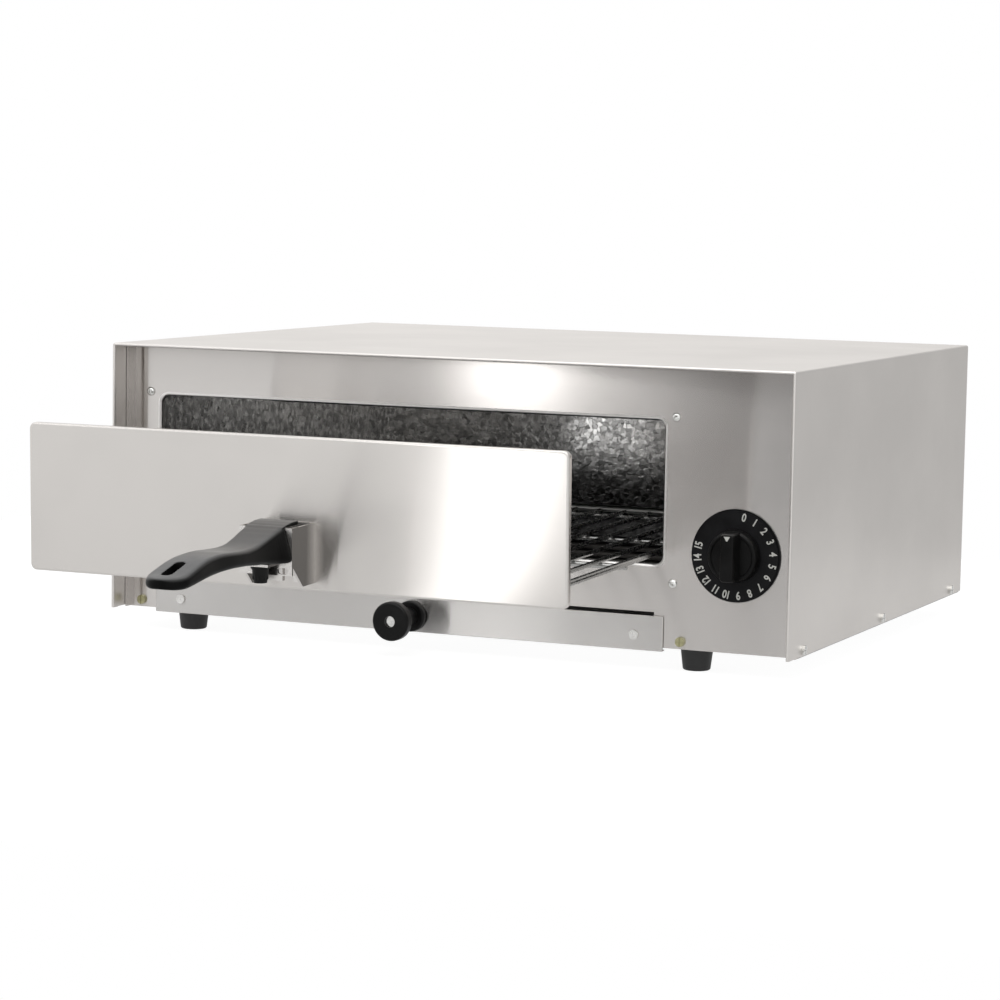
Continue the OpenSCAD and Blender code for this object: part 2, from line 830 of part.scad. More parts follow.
module cover_side_screws() {
    color("silver") housing()
        for (y = side_screw_y, side = [0, 1])
            mirror([side, 0, 0])
                translate([body_w / 2, y, base_screw_z])
                    rotate([0, 0, 90])
                        screw_y();
}

module back_panel_screws() {
    color("silver") housing()
        for (side = [-1, 1], z = [base_screw_z, roof_under - rear_lip_h / 2])
            translate([side * back_screw_x, back_y + sheet, z])
                rotate([0, 0, 180])
                    screw_y();
}

// Timer and controls

module timer_dial_plate() {
    color("black") housing() difference() {
        union() {
            bar_y([dial_x, panel_y - dial_t, dial_z], dial_t, dial_dia - 2);
            bar_y([dial_x, panel_y - dial_t / 2, dial_z], dial_t / 2, dial_dia);
        }
        bar_y([dial_x, panel_y - dial_t - 1, dial_z], dial_t + 2, timer_shaft_dia + 2);
        for (side = [-1, 1])
            translate([dial_x + side * 11, panel_y - dial_t, dial_z])
                screw_hole_y(dial_t);
    }
}

module timer_case() {
    lid_t = 3;
    color("tan") housing() difference() {
        union() {
            bar_y([dial_x, panel_back, dial_z], timer_case_d, timer_case_dia);
            bar_y([dial_x, panel_back, dial_z], lid_t, timer_case_dia + 4);
            span([dial_x - 10, panel_back + timer_case_d, dial_z - 3],
                [dial_x - 4, panel_back + timer_case_d + 8, dial_z + 3]);
            span([dial_x + 4, panel_back + timer_case_d, dial_z - 3],
                [dial_x + 10, panel_back + timer_case_d + 8, dial_z + 3]);
        }
        bar_y([dial_x, panel_back - 1, dial_z], timer_case_d / 2 + 1, timer_shaft_dia + 0.1);
        for (side = [-1, 1])
            translate([dial_x + side * 11, panel_back, dial_z])
                screw_hole_y(screw_len);
    }
}

module timer_screws() {
    head_h = dial_t - 1;
    color("silver") housing()
        for (side = [-1, 1])
            translate([dial_x + side * 11, panel_y, dial_z])
                rotate([-90, 0, 0])
                    translate([0, 0, -head_h])
                        cylinder(h = screw_len - 1 + head_h, d = screw_dia);
}

module limit_thermostat() {
    wall_x = mid_x + cavity_half + liner;
    y = (panel_back + cavity_back) / 2;
    z = (rack_z + cavity_top) / 2;
    color("gray") housing() {
        bar_x([wall_x, y, z], 4, 16);
        bar_x([wall_x + 4, y, z], 7, 14);
        span([wall_x, y - 15, z - 5], [wall_x + 1, y + 15, z + 5]);
    }
}

block_y = back_y - block_inset;
module terminal_block() {
    x = (shield_x + inner_x) / 2;
    ways = 3;
    color("white") housing() difference() {
        span([x - 12, block_y - block_len / 2, base_top], [x + 12, block_y + block_len / 2, base_top + 16]);
        for (i = [0 : ways - 1])
            translate([x, block_y + (i - 1) * block_len / ways, base_top + 10]) {
                bar_x([-13, 0, 0], 7, 6);
                bar_x([6, 0, 0], 7, 6);
                bar_z([0, 0, 2], 8, 5);
            }
    }
}

// One wire along a list of points. Each step runs along X, Y or Z.
module lead(points, dia) {
    for (i = [0 : len(points) - 2]) {
        step = points[i + 1] - points[i];
        run = norm(step);
        translate(points[i])
            rotate(step[0] > 0 ? [0, 90, 0] : step[0] < 0 ? [0, -90, 0] : step[1] > 0 ? [-90, 0, 0]
                : step[1] < 0 ? [90, 0, 0] : step[2] > 0 ? [0, 0, 0] : [180, 0, 0])
                cylinder(h = run, d = dia);
    }
    for (i = [1 : len(points) - 2])
        translate(points[i])
            sphere(d = dia + 0.6);
}

module internal_leads() {
    dia = 2.4;
    x = (shield_x + inner_x) / 2;
    post_x = terminal_x + 10 + dia / 2;
    way = block_len / 3;
    block_z = base_top + 10;
    timer_back = panel_back + timer_case_d + 8;
    last_y = element_first_y + (element_runs - 1) * element_pitch;
    color("firebrick") housing() {
        lead([[x + 6, block_y - way, block_z], [x + 20, block_y - way, block_z],
            [x + 20, timer_back + 12, block_z], [x + 20, timer_back + 12, dial_z],
            [dial_x + 7, timer_back + 12, dial_z], [dial_x + 7, timer_back, dial_z]], dia);
        lead([[dial_x - 7, timer_back, dial_z], [dial_x - 7, timer_back + 20, dial_z],
            [dial_x - 7, timer_back + 20, upper_z - 12], [post_x, timer_back + 20, upper_z - 12],
            [post_x, element_first_y, upper_z - 12], [post_x, element_first_y, upper_z - 2]], dia);
        lead([[x - 6, block_y, block_z], [x - 16, block_y, block_z], [x - 16, block_y, upper_z - 12],
            [post_x, block_y, upper_z - 12], [post_x, last_y, upper_z - 12],
            [post_x, last_y, upper_z - 2]], dia);
    }
}

module cord_gland() {
    out_y = back_y + sheet;
    color("black") housing() difference() {
        union() {
            bar_y([gland_x, back_y - 7, gland_z], 7 + sheet, gland_dia);
            bar_y([gland_x, out_y, gland_z], gland_flange_t, gland_dia + 8);
            translate([gland_x, out_y + gland_flange_t, gland_z])
                rotate([-90, 0, 0])
                    cylinder(h = gland_cap_len, d1 = gland_dia, d2 = gland_bore + 4);
        }
        bar_y([gland_x, back_y - 8, gland_z], 30, gland_bore);
    }
}

module gland_nut() {
    color("dimgray") housing() translate([gland_x, back_y - 5, gland_z]) rotate([-90, 0, 0]) difference() {
        cylinder(h = 5, d = gland_dia + 8, $fn = 6);
        translate([0, 0, -1])
            cylinder(h = 7, d = gland_dia + 0.1);
    }
}

// Drawer

module rack_guide_rod() {
    half = cavity_half + groove_d - 0.5;
    color("silver") housing() bar_x([mid_x - half, rod_y, rack_z], 2 * half, rod_dia);
}

module wire_rack() {
    half = rack_w / 2;
    pitch = rack_w / wire_gaps;
    front_y = -(rack_len - door_sheet - 0.4);
    cross_step = (cross_last - cross_first) / (cross_count - 1);
    color("gray") drawer() translate([mid_x, 0, rack_z]) {
        difference() {
            union() {
                for (side = [-1, 1])
                    bar_y([side * half, front_y, 0], -front_y, frame_wire_dia);
                for (side = [-1, 1])
                    bar_x([side * half - eye_len / 2, 0, 0], eye_len, 2 * eye_r);
            }
            bar_x([-half - eye_len, 0, 0], rack_w + 2 * eye_len, rod_dia + 2 * rod_clearance);
        }
        for (i = [1 : wire_gaps - 1])
            bar_y([-half + i * pitch, front_y, 0], -front_y - cross_first + 2, wire_dia);
        for (i = [0 : cross_count - 1])
            bar_x([-half, -cross_first - i * cross_step, -cross_drop], rack_w, cross_dia);
    }
}

// Places of the clips that hold the rack's front bar to the door, as X from the middle.
clip_pitch = rack_w / wire_gaps;
clip_places = [for (i = [-6, 0, 6]) (i + (wire_gaps % 2 == 0 ? 0.5 : 0)) * clip_pitch];
clip_bore = cross_dia + 0.2;

module rack_clips() {
    bar_yc = -cross_last;
    bar_zc = rack_z - cross_drop;
    plate_front = -(rack_len - door_sheet);
    r = clip_bore / 2 + clip_wall;
    color("silver") drawer()
        for (x = clip_places)
            translate([mid_x + x - clip_w / 2, 0, 0])
                difference() {
                    union() {
                        bar_x([0, bar_yc, bar_zc], clip_w, 2 * r);
                        span([0, plate_front, bar_zc - r], [clip_w, bar_yc, bar_zc - r + clip_wall]);
                        span([0, plate_front, bar_zc - r],
                            [clip_w, plate_front + clip_wall, bar_zc + clip_h]);
                    }
                    bar_x([-1, bar_yc, bar_zc], clip_w + 2, clip_bore);
                    translate([clip_w / 2, plate_front, bar_zc + clip_rivet_rise])
                        screw_hole_y(clip_wall);
                }
}

module clip_rivets() {
    bar_zc = rack_z - cross_drop;
    color("silver") drawer()
        for (x = clip_places)
            translate([mid_x + x, -rack_len, bar_zc + clip_rivet_rise]) {
                rotate([-90, 0, 0])
                    cylinder(h = door_sheet + clip_wall, d = screw_dia);
                bar_y([0, door_sheet + clip_wall, 0], 1.2, rivet_head_dia);
            }
}

module door_panel() {
    left = mid_x - door_w / 2;
    color("gainsboro") drawer() difference() {
        upright(left, -rack_len, door_z, door_w, door_h, door_r, door_d);
        upright(left + door_sheet, -rack_len + door_sheet, door_z + door_sheet, door_w - 2 * door_sheet,
            door_h - 2 * door_sheet, door_r - door_sheet, door_d);
        for (x = clip_places)
            translate([mid_x + x, -rack_len, rack_z - cross_drop + clip_rivet_rise])
                screw_hole_y(door_sheet);
        for (z = bracket_rivet_z, side = [-1, 1])
            translate([mid_x + side * bracket_rivet_x, -rack_len, z])
                screw_hole_y(door_sheet);
    }
}

bracket_rivet_x = bracket_w / 2 - 8;
bracket_rivet_z = [bracket_z + bracket_rivet_rise, bracket_top - 8];

module handle_bracket() {
    half = bracket_w / 2;
    front = -(rack_len + bracket_u);
    door_face = -rack_len;
    web_bottom = bracket_z + 8;
    slot_x = half - 6;
    slot_z = web_bottom + 2.6;
    color("darkgray") drawer() translate([mid_x, 0, 0]) difference() {
        union() {
            span([-half, front, web_bottom], [half, front + bracket_sheet, bracket_top]);
            for (side = [-1, 1]) {
                translate([side * (half - bracket_sheet / 2) + bracket_sheet / 2, 0, 0])
                    rotate([0, -90, 0])
                        linear_extrude(height = bracket_sheet)
                            polygon([
                                [bracket_z, door_face], [bracket_z, front + 14], [bracket_z + 14, front],
                                [bracket_top, front], [bracket_top, door_face]
                            ]);
                translate([side * (half - 7) - 7, door_face - bracket_sheet, bracket_z])
                    cube([14, bracket_sheet, bracket_h]);
            }
            span([-8, front - 12, tongue_z], [8, front + bracket_sheet, tongue_z + bracket_sheet]);
        }
        bar_z([0, -(rack_len + bolt_u), tongue_z - 1], bracket_sheet + 2, bolt_dia + 0.2);
        for (z = bracket_rivet_z, side = [-1, 1])
            translate([side * bracket_rivet_x, door_face - bracket_sheet, z])
                screw_hole_y(bracket_sheet);
        for (dx = [-1.5, 1.5])
            bar_y([slot_x + dx, front - 1, slot_z], bracket_sheet + 2, 3.8);
        span([slot_x - 1.5, front - 1, slot_z - 1.9],
            [slot_x + 1.5, front + bracket_sheet + 1, slot_z + 1.9]);
    }
}

module bracket_rivets() {
    color("silver") drawer()
        for (z = bracket_rivet_z, side = [-1, 1])
            translate([mid_x + side * bracket_rivet_x, -rack_len, z]) {
                bar_y([0, -bracket_sheet, 0], bracket_sheet + door_sheet, screw_dia);
                bar_y([0, -bracket_sheet - 1.2, 0], 1.2, rivet_head_dia);
                bar_y([0, door_sheet, 0], 1, rivet_head_dia);
            }
}

// A smooth curve through points, with equal steps between each two of them.
function blend_point(a, b, c, d, t) = 0.5 * (2 * b + (c - a) * t + (2 * a - 5 * b + 4 * c - d) * t * t
    + (3 * b - a - 3 * c + d) * t * t * t);
function smooth(points, steps) = [
    for (i = [0 : len(points) - 2], k = [0 : steps - 1])
        blend_point(points[max(i - 1, 0)], points[i], points[i + 1],
            points[min(i + 2, len(points) - 1)], k / steps),
    points[len(points) - 1]
];

// The handle's outlines: u is the distance out from the bracket's front face.
handle_top_line = [
    [0, handle_top], [4, handle_top - 1.3], [12, handle_top - 4.1], [20, handle_top - 6.6],
    [30, waist_top + 0.2], [40, waist_top - 0.6], [54, waist_top], [handle_len * 0.55, waist_top + 0.7],
    [handle_len * 0.63, waist_top + 0.6], [handle_len * 0.71, waist_top - 0.3],
    [handle_len * 0.79, waist_top - 2.3], [handle_len * 0.87, tip_top + 1.9],
    [handle_len * 0.94, tip_top + 0.4],
    [handle_len, tip_edge]
];
handle_bottom_line = [
    [handle_len, tip_bottom + 1], [handle_len * 0.96, tip_bottom + 0.1],
    [handle_len * 0.88, tip_bottom + 0.5],
    [handle_len * 0.79, tip_bottom + 1.7], [handle_len * 0.67, waist_bottom - 1],
    [handle_len * 0.59, waist_bottom - 0.3], [handle_len * 0.51, waist_bottom + 0.2], [54, waist_bottom],
    [45, waist_bottom - 0.5], [35, waist_bottom - 1.3], [25, handle_bottom + 1.9], [12, handle_bottom + 0.6],
    [0, handle_bottom]
];
handle_side = concat(smooth(handle_top_line, 4), smooth(handle_bottom_line, 4));
waist_half = handle_waist_w / 2;
handle_plan_line = [
    [0, bracket_w / 2], [3, bracket_w / 2 - 1], [7, bracket_w / 2 - 2.5], [12, bracket_w / 2 - 3.9],
    [20, waist_half + 0.6], [30, waist_half], [42, waist_half + 0.3], [54, waist_half + 0.7],
    [handle_len * 0.55, waist_half + 0.4], [handle_len * 0.63, waist_half],
    [handle_len * 0.71, waist_half + 0.3],
    [handle_len * 0.8, tip_r - 0.5], [handle_len - tip_r, tip_r]
];
handle_plan_half = smooth(handle_plan_line, 4);

module handle() {
    hang_c = handle_len - hang_rim - hang_len / 2;
    half = bracket_w / 2;
    top_half = handle_top_w / 2;
    shoulder = handle_top - 5;
    lip_bottom = handle_top - lip_t;
    color("black") drawer() translate([mid_x, -(rack_len + bracket_u), 0]) difference() {
        union() {
            intersection() {
                rotate([90, 0, -90])
                    translate([0, 0, -bracket_w])
                        linear_extrude(height = 2 * bracket_w)
                            polygon(handle_side);
                translate([0, 0, handle_bottom - handle_tip_h])
                    linear_extrude(height = handle_end_h + 2 * handle_tip_h) {
                        polygon(concat(
                            [for (p = handle_plan_half) [p[1], -p[0]]],
                            [for (i = [len(handle_plan_half) - 1 : -1 : 0])
                                [-handle_plan_half[i][1], -handle_plan_half[i][0]]]
                        ));
                        translate([0, -(handle_len - tip_r)])
                            circle(r = tip_r);
                    }
                rotate([90, 0, 0])
                    linear_extrude(height = handle_len + 1)
                        polygon([
                            [-top_half, handle_top], [top_half, handle_top], [half, shoulder],
                            [half, handle_bottom - 20], [-half, handle_bottom - 20], [-half, shoulder]
                        ]);
            }
            span([-top_half, -0.5, lip_bottom], [top_half, lip_len, handle_top]);
        }
        for (dy = [-1, 1])
            bar_z([0, -hang_c + dy * (hang_len - hang_w) / 2, handle_bottom - handle_tip_h],
                handle_end_h + 2 * handle_tip_h, hang_w);
        span([-hang_w / 2, -hang_c - (hang_len - hang_w) / 2, handle_bottom - handle_tip_h],
            [hang_w / 2, -hang_c + (hang_len - hang_w) / 2, handle_top + handle_tip_h]);
        bar_z([0, -(bolt_u - bracket_u), handle_bottom - 1], 15, bolt_dia + 0.1);
    }
}

module handle_bolt() {
    color("silver") drawer() translate([mid_x, -(rack_len + bolt_u), 0])
        bar_z([0, 0, tongue_z - nut_h + 1], nut_h - 1 + bracket_sheet + 12, bolt_dia);
}

module handle_nut() {
    ribs = 14;
    top = tongue_z;
    color("black") drawer() translate([mid_x, -(rack_len + bolt_u), top - nut_h]) difference() {
        union() {
            cylinder(h = nut_h, d1 = nut_dia - 3.5, d2 = nut_dia - 1);
            translate([0, 0, nut_h - 1.5])
                cylinder(h = 1.5, d = nut_dia);
            for (i = [0 : ribs - 1])
                rotate([0, 0, i * 360 / ribs])
                    translate([nut_dia / 2 - 1.6, 0, 2])
                        cylinder(h = nut_h - 2, d = 1.2);
        }
        translate([0, 0, 1])
            cylinder(h = nut_h, d = bolt_dia + 0.1);
    }
}

// Crumb tray

module crumb_tray() {
    left = mid_x - tray_w / 2;
    front = tray_plate_y + sheet;
    color("silver") housing() difference() {
        span([left, front, tray_floor], [left + tray_w, front + tray_d, tray_floor + tray_h]);
        span([left + liner, front + liner, tray_floor + liner],
            [left + tray_w - liner, front + tray_d - liner, tray_floor + tray_h + 1]);
        for (side = [-1, 1])
            translate([mid_x + side * (tray_w / 2 - tray_rivet_in), front, tray_rivet_z])
                screw_hole_y(liner);
        bar_y([tray_knob_x, front - 1, tray_knob_z], liner + 2, 4.1);
    }
}

module tray_front() {
    left = mid_x - tray_plate_w / 2;
    color("lightgray") housing() difference() {
        union() {
            span([left, tray_plate_y, tray_plate_z],
                [left + tray_plate_w, tray_plate_y + sheet, tray_plate_z + tray_plate_h]);
            span([left, tray_plate_y, tray_plate_z],
                [left + tray_plate_w, tray_plate_y + tray_plate_d, tray_plate_z + 0.8]);
        }
        for (side = [-1, 1])
            translate([mid_x + side * (tray_w / 2 - tray_rivet_in), tray_plate_y, tray_rivet_z])
                screw_hole_y(sheet);
        bar_y([tray_knob_x, tray_plate_y - 1, tray_knob_z], sheet + 2, 4.1);
    }
}

module tray_rivets() {
    color("silver") housing()
        for (side = [-1, 1])
            translate([mid_x + side * (tray_w / 2 - tray_rivet_in), 0, tray_rivet_z]) {
                bar_y([0, tray_plate_y, 0], sheet + liner, screw_dia);
                bar_y([0, tray_plate_y - 1.2, 0], 1.2, 6);
                bar_y([0, tray_plate_y + sheet + liner, 0], 1, 4);
            }
}

module tray_knob() {
    disc_t = 8;
    base_t = 5;
    color("black") housing() translate([tray_knob_x, tray_plate_y, tray_knob_z])
            rotate([90, 0, 0]) difference() {
        rotate_extrude()
            union() {
                square([tray_knob_neck_dia / 2, tray_knob_len]);
                square([tray_knob_base_dia / 2 - 1.5, base_t]);
                translate([0, 1.5])
                    square([tray_knob_base_dia / 2, base_t - 3]);
                translate([tray_knob_base_dia / 2 - 1.5, 1.5])
                    circle(r = 1.5);
                translate([tray_knob_base_dia / 2 - 1.5, base_t - 1.5])
                    circle(r = 1.5);
                translate([0, tray_knob_len - disc_t])
                    square([tray_knob_dia / 2 - 2, disc_t]);
                translate([0, tray_knob_len - disc_t + 2])
                    square([tray_knob_dia / 2, disc_t - 4]);
                translate([tray_knob_dia / 2 - 2, tray_knob_len - disc_t + 2])
                    circle(r = 2);
                translate([tray_knob_dia / 2 - 2, tray_knob_len - 2])
                    circle(r = 2);
            }
        translate([0, 0, -1])
            cylinder(h = tray_knob_len + 2, d = 4.1);
        translate([0, 0, tray_knob_len - 4])
            cylinder(h = 5, d = 7.2);
    }
}

module tray_knob_screw() {
    seat = tray_plate_y - tray_knob_len + 4;
    color("silver") housing() translate([tray_knob_x, seat, tray_knob_z]) {
        bar_y([0, 0, 0], tray_knob_len - 4 + sheet + liner + 3, 4);
        bar_y([0, -2.2, 0], 2.2, 7);
        bar_y([0, tray_knob_len - 4 + sheet + liner, 0], 2.4, 6);
    }
}

// Timer knob, on its shaft

module timer_shaft() {
    front = knob_y - knob_base_h;
    color("silver") housing()
        bar_y([dial_x, front, dial_z], panel_back + timer_case_d / 2 - 1 - front, timer_shaft_dia);
}

module timer_knob() {
    bore_d = knob_base_h + 0.3;
    color("black") housing() translate([dial_x, knob_y, dial_z]) rotate([90, 0, 0]) difference() {
        union() {
            cylinder(h = knob_base_h, d1 = knob_dia, d2 = knob_dia - 3);
            intersection() {
                translate([-grip_w / 2, -knob_dia / 2, 0])
                    cube([grip_w, knob_dia, knob_base_h + grip_h]);
                cylinder(h = knob_base_h + grip_h, d1 = knob_dia, d2 = knob_dia - 5);
            }
        }
        translate([0, 0, -1])
            cylinder(h = bore_d + 0.7, d = timer_shaft_dia);
    }
}

outer_cover();
base_plate();
back_panel();
front_panel();
cavity_left_wall();
cavity_right_wall();
cavity_roof();
cavity_back_wall();
control_heat_shield();
tray_rail_left();
tray_rail_right();
upper_element();
lower_element();
upper_element_clips();
element_rest_bars();
element_bushes();
element_terminals();
foot_front_left();
foot_front_right();
foot_rear_left();
foot_rear_right();
foot_screws();
liner_screws();
base_front_screws();
cover_side_screws();
back_panel_screws();
timer_dial_plate();
timer_case();
timer_screws();
limit_thermostat();
terminal_block();
internal_leads();
cord_gland();
gland_nut();
rack_guide_rod();
wire_rack();
rack_clips();
clip_rivets();
door_panel();
handle_bracket();
bracket_rivets();
handle();
handle_bolt();
handle_nut();
crumb_tray();
tray_front();
tray_rivets();
tray_knob();
tray_knob_screw();
timer_shaft();
timer_knob();
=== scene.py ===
import json
import math

import bmesh
import bpy
from mathutils import Matrix, Vector


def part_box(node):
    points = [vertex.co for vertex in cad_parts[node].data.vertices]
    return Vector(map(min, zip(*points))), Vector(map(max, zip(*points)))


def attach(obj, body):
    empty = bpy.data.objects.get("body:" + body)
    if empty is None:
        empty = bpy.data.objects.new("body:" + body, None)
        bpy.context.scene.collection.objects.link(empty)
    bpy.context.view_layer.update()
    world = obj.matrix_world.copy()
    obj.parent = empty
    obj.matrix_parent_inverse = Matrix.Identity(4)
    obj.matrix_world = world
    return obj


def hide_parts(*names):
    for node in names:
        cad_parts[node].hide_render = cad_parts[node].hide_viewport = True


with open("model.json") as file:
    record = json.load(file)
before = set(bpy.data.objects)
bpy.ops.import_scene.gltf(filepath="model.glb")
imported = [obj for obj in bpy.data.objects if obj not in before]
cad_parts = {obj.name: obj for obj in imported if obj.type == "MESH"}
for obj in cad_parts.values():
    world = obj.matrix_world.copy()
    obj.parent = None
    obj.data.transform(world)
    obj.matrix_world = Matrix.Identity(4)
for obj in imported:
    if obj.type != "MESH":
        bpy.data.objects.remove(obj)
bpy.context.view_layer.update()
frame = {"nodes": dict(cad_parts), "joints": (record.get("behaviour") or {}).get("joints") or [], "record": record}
MM = 0.001

# Camera

# The photograph's viewpoint: turned round the object, raised above it and rolled, in degrees.
CAM_AZIMUTH = 23.452
CAM_ELEVATION = 5.795
CAM_ROLL = 1.043
CAM_LENS_MM = 114.24
CAM_SENSOR_MM = 36.0
# The camera's place from the middle of the cover's front edge, on the surface it stands on.
CAM_OFFSET = Vector((0.82693, -1.80520, 0.30192))


def make_camera(front_y):
    az = math.radians(CAM_AZIMUTH)
    el = math.radians(CAM_ELEVATION)
    roll = math.radians(CAM_ROLL)
    ahead = Vector((-math.sin(az) * math.cos(el), math.cos(az) * math.cos(el), -math.sin(el)))
    level = Vector((math.cos(az), math.sin(az), 0))
    upright = level.cross(ahead)
    right = level * math.cos(roll) + upright * math.sin(roll)
    up = upright * math.cos(roll) - level * math.sin(roll)
    data = bpy.data.cameras.new("camera")
    data.lens = CAM_LENS_MM
    data.sensor_width = CAM_SENSOR_MM
    data.sensor_fit = "HORIZONTAL"
    data.clip_end = 100
    camera = bpy.data.objects.new("camera", data)
    turn = Matrix((right, up, -ahead)).transposed().to_4x4()
    camera.matrix_world = Matrix.Translation(CAM_OFFSET + Vector((0, front_y, 0))) @ turn
    bpy.context.scene.collection.objects.link(camera)
    bpy.context.scene.camera = camera


cover_low, cover_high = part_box("outer_cover")
make_camera(cover_low.y)

# Frame dimensions, in metres

panel_low, panel_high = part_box("front_panel")
door_low, door_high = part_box("door_panel")
tray_low, tray_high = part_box("tray_front")
dial_low, dial_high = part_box("timer_dial_plate")
knob_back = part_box("timer_knob")[1].y
bracket_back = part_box("handle_bracket")[1].y
sheet = 1.0 * MM
front_y = cover_low.y
PANEL_SET_BACK = 22.0 * MM
panel_y = cover_low.y + PANEL_SET_BACK
mid_x = (door_low.x + door_high.x) / 2

# The drawer's pieces are drawn level, with Y = 0 at the guide rod, and then tipped as at rest.
tilt_joint = next(j for j in frame["joints"] if j["name"] == "drawer_tilt")
rod = Vector(tilt_joint["pos_m"])
DROOP = math.radians(1.46)
drawer_place = (
    Matrix.Translation((0, rod.y, rod.z)) @ Matrix.Rotation(DROOP, 4, "X")
    @ Matrix.Translation((0, 0, -rod.z))
)

# Materials


def shader(name):
    mat = bpy.data.materials.new(name)
    mat.use_nodes = True
    tree = mat.node_tree
    return mat, tree, tree.nodes["Principled BSDF"]


def node(tree, kind, inputs=None, **settings):
    made = tree.nodes.new(kind)
    for key, value in settings.items():
        setattr(made, key, value)
    for key, value in (inputs or {}).items():
        if hasattr(value, "is_output"):
            tree.links.new(value, made.inputs[key])
        else:
            made.inputs[key].default_value = value
    return made


def reckon(tree, operation, *values):
    """A Math node's result."""
    return node(tree, "ShaderNodeMath", dict(enumerate(values)), operation=operation).outputs[0]


def scaled(tree, vector, share):
    made = node(tree, "ShaderNodeVectorMath", {0: vector, "Scale": share}, operation="SCALE")
    return made.outputs["Vector"]


def part_of(tree, vector, axis):
    return node(tree, "ShaderNodeSeparateXYZ", {"Vector": vector}).outputs[axis]


def places(tree, stretch):
    coords = node(tree, "ShaderNodeTexCoord")
    made = node(tree, "ShaderNodeMapping", {"Vector": coords.outputs["Object"], "Scale": stretch})
    return made.outputs["Vector"]


def noise(tree, stretch, detail=3.0, rough=0.55):
    inputs = {"Vector": places(tree, stretch), "Scale": 1.0, "Detail": detail, "Roughness": rough}
    return node(tree, "ShaderNodeTexNoise", inputs).outputs["Fac"]


def ramp(tree, value, low, high, start=0.35, end=0.65):
    """Runs from low to high while the value runs from start to end."""
    inputs = {"Value": value, "From Min": start, "From Max": end, "To Min": low, "To Max": high}
    return node(tree, "ShaderNodeMapRange", inputs).outputs["Result"]


def tinted(tree, color, value, low, high, start=0.35, end=0.65):
    return scaled(tree, color, ramp(tree, value, low, high, start, end))


def bumped(tree, value, strength, depth):
    inputs = {"Height": value, "Strength": strength, "Distance": depth}
    return node(tree, "ShaderNodeBump", inputs).outputs["Normal"]


# How much of a brushed sheet's shine is drawn out along its grain.
DRAWN_SHARE = 0.85
# How deep the lighter back end of a brushed sheet's sides is, and how much lighter it is: a painted highlight
# where the bracket meets the door.
PAINTED_SIDE_HIGHLIGHT_DEPTH = 12.0 * MM
PAINTED_SIDE_HIGHLIGHT_GAIN = 0.45


def brushed(name, color, along, across, grain, mottle=0.03, bump=0.02, painted_side_shade=1.0, painted_underside_shade=1.0):
    """Satin sheet metal: a level grain that draws reflections out up and down, and faint cloudy marks.
    Its sides are darkened when the side factor is below 1, a painted shade strongest in front that eases to a
    painted highlight at their back end; its undersides are darkened when the underside factor is below 1, a
    painted shade."""
    mat, tree, bsdf = shader(name)
    lines = noise(tree, grain, 2.0)
    clouds = noise(tree, (9, 9, 12), 4.0)
    both = reckon(tree, "ADD", lines, clouds)
    tint = tinted(tree, color, clouds, 1 - mottle, 1 + mottle)
    # Painted shade on faces that look sideways, strongest in front, with a painted highlight towards their back
    # end.
    if painted_side_shade < 1:
        lie = node(tree, "ShaderNodeNewGeometry").outputs["True Normal"]
        aside = ramp(tree, reckon(tree, "ABSOLUTE", part_of(tree, lie, "X")), 0.0, 1.0, 0.5, 0.9)
        depth = part_of(tree, places(tree, (1, 1, 1)), "Y")
        fade_from = bracket_back - PAINTED_SIDE_HIGHLIGHT_DEPTH
        loss = ramp(tree, depth, painted_side_shade - 1, painted_side_shade - 1 + PAINTED_SIDE_HIGHLIGHT_GAIN, fade_from, bracket_back)
        tint = scaled(tree, tint, reckon(tree, "MULTIPLY_ADD", aside, loss, 1.0))
    # Painted shade on faces that look down.
    if painted_underside_shade < 1:
        lie = node(tree, "ShaderNodeNewGeometry").outputs["True Normal"]
        down = node(tree, "ShaderNodeVectorMath", {0: lie, 1: (-0.5, 0, -1)}, operation="DOT_PRODUCT")
        tint = scaled(tree, tint, ramp(tree, down.outputs["Value"], 1.0, painted_underside_shade, 0.2, 1.0))
    rough = (along * across) ** 0.25
    rough = ramp(tree, both, rough - 0.01, rough + 0.01, 0.7, 1.3)
    bent = bumped(tree, lines, bump, 0.0001)
    around = node(tree, "ShaderNodeTangent", direction_type="RADIAL", axis="Z").outputs["Tangent"]
    bsdf.inputs["Metallic"].default_value = 1.0
    bsdf.inputs["Anisotropic"].default_value = min(1, (1 - along / across) / 0.9)
    bsdf.inputs["Anisotropic Rotation"].default_value = 0.25
    for value, socket in (
        (tint, "Base Color"), (rough, "Roughness"), (bent, "Normal"), (around, "Tangent")
    ):
        tree.links.new(value, bsdf.inputs[socket])
    drawn = node(tree, "ShaderNodeBsdfAnisotropic", {
        "Color": tint, "Roughness": rough, "Anisotropy": 1 - math.sqrt(along / across), "Normal": bent,
        "Tangent": around,
    })
    both_ways = {0: DRAWN_SHARE, 1: bsdf.outputs["BSDF"], 2: drawn.outputs["BSDF"]}
    mix = node(tree, "ShaderNodeMixShader", both_ways)
    tree.links.new(mix.outputs[0], tree.nodes["Material Output"].inputs["Surface"])
    return mat


# The height band below which the lining's colour is darkened, a painted shade for its dark lower part.
PAINTED_SHADE_FROM = 0.082
PAINTED_SHADE_TO = 0.106


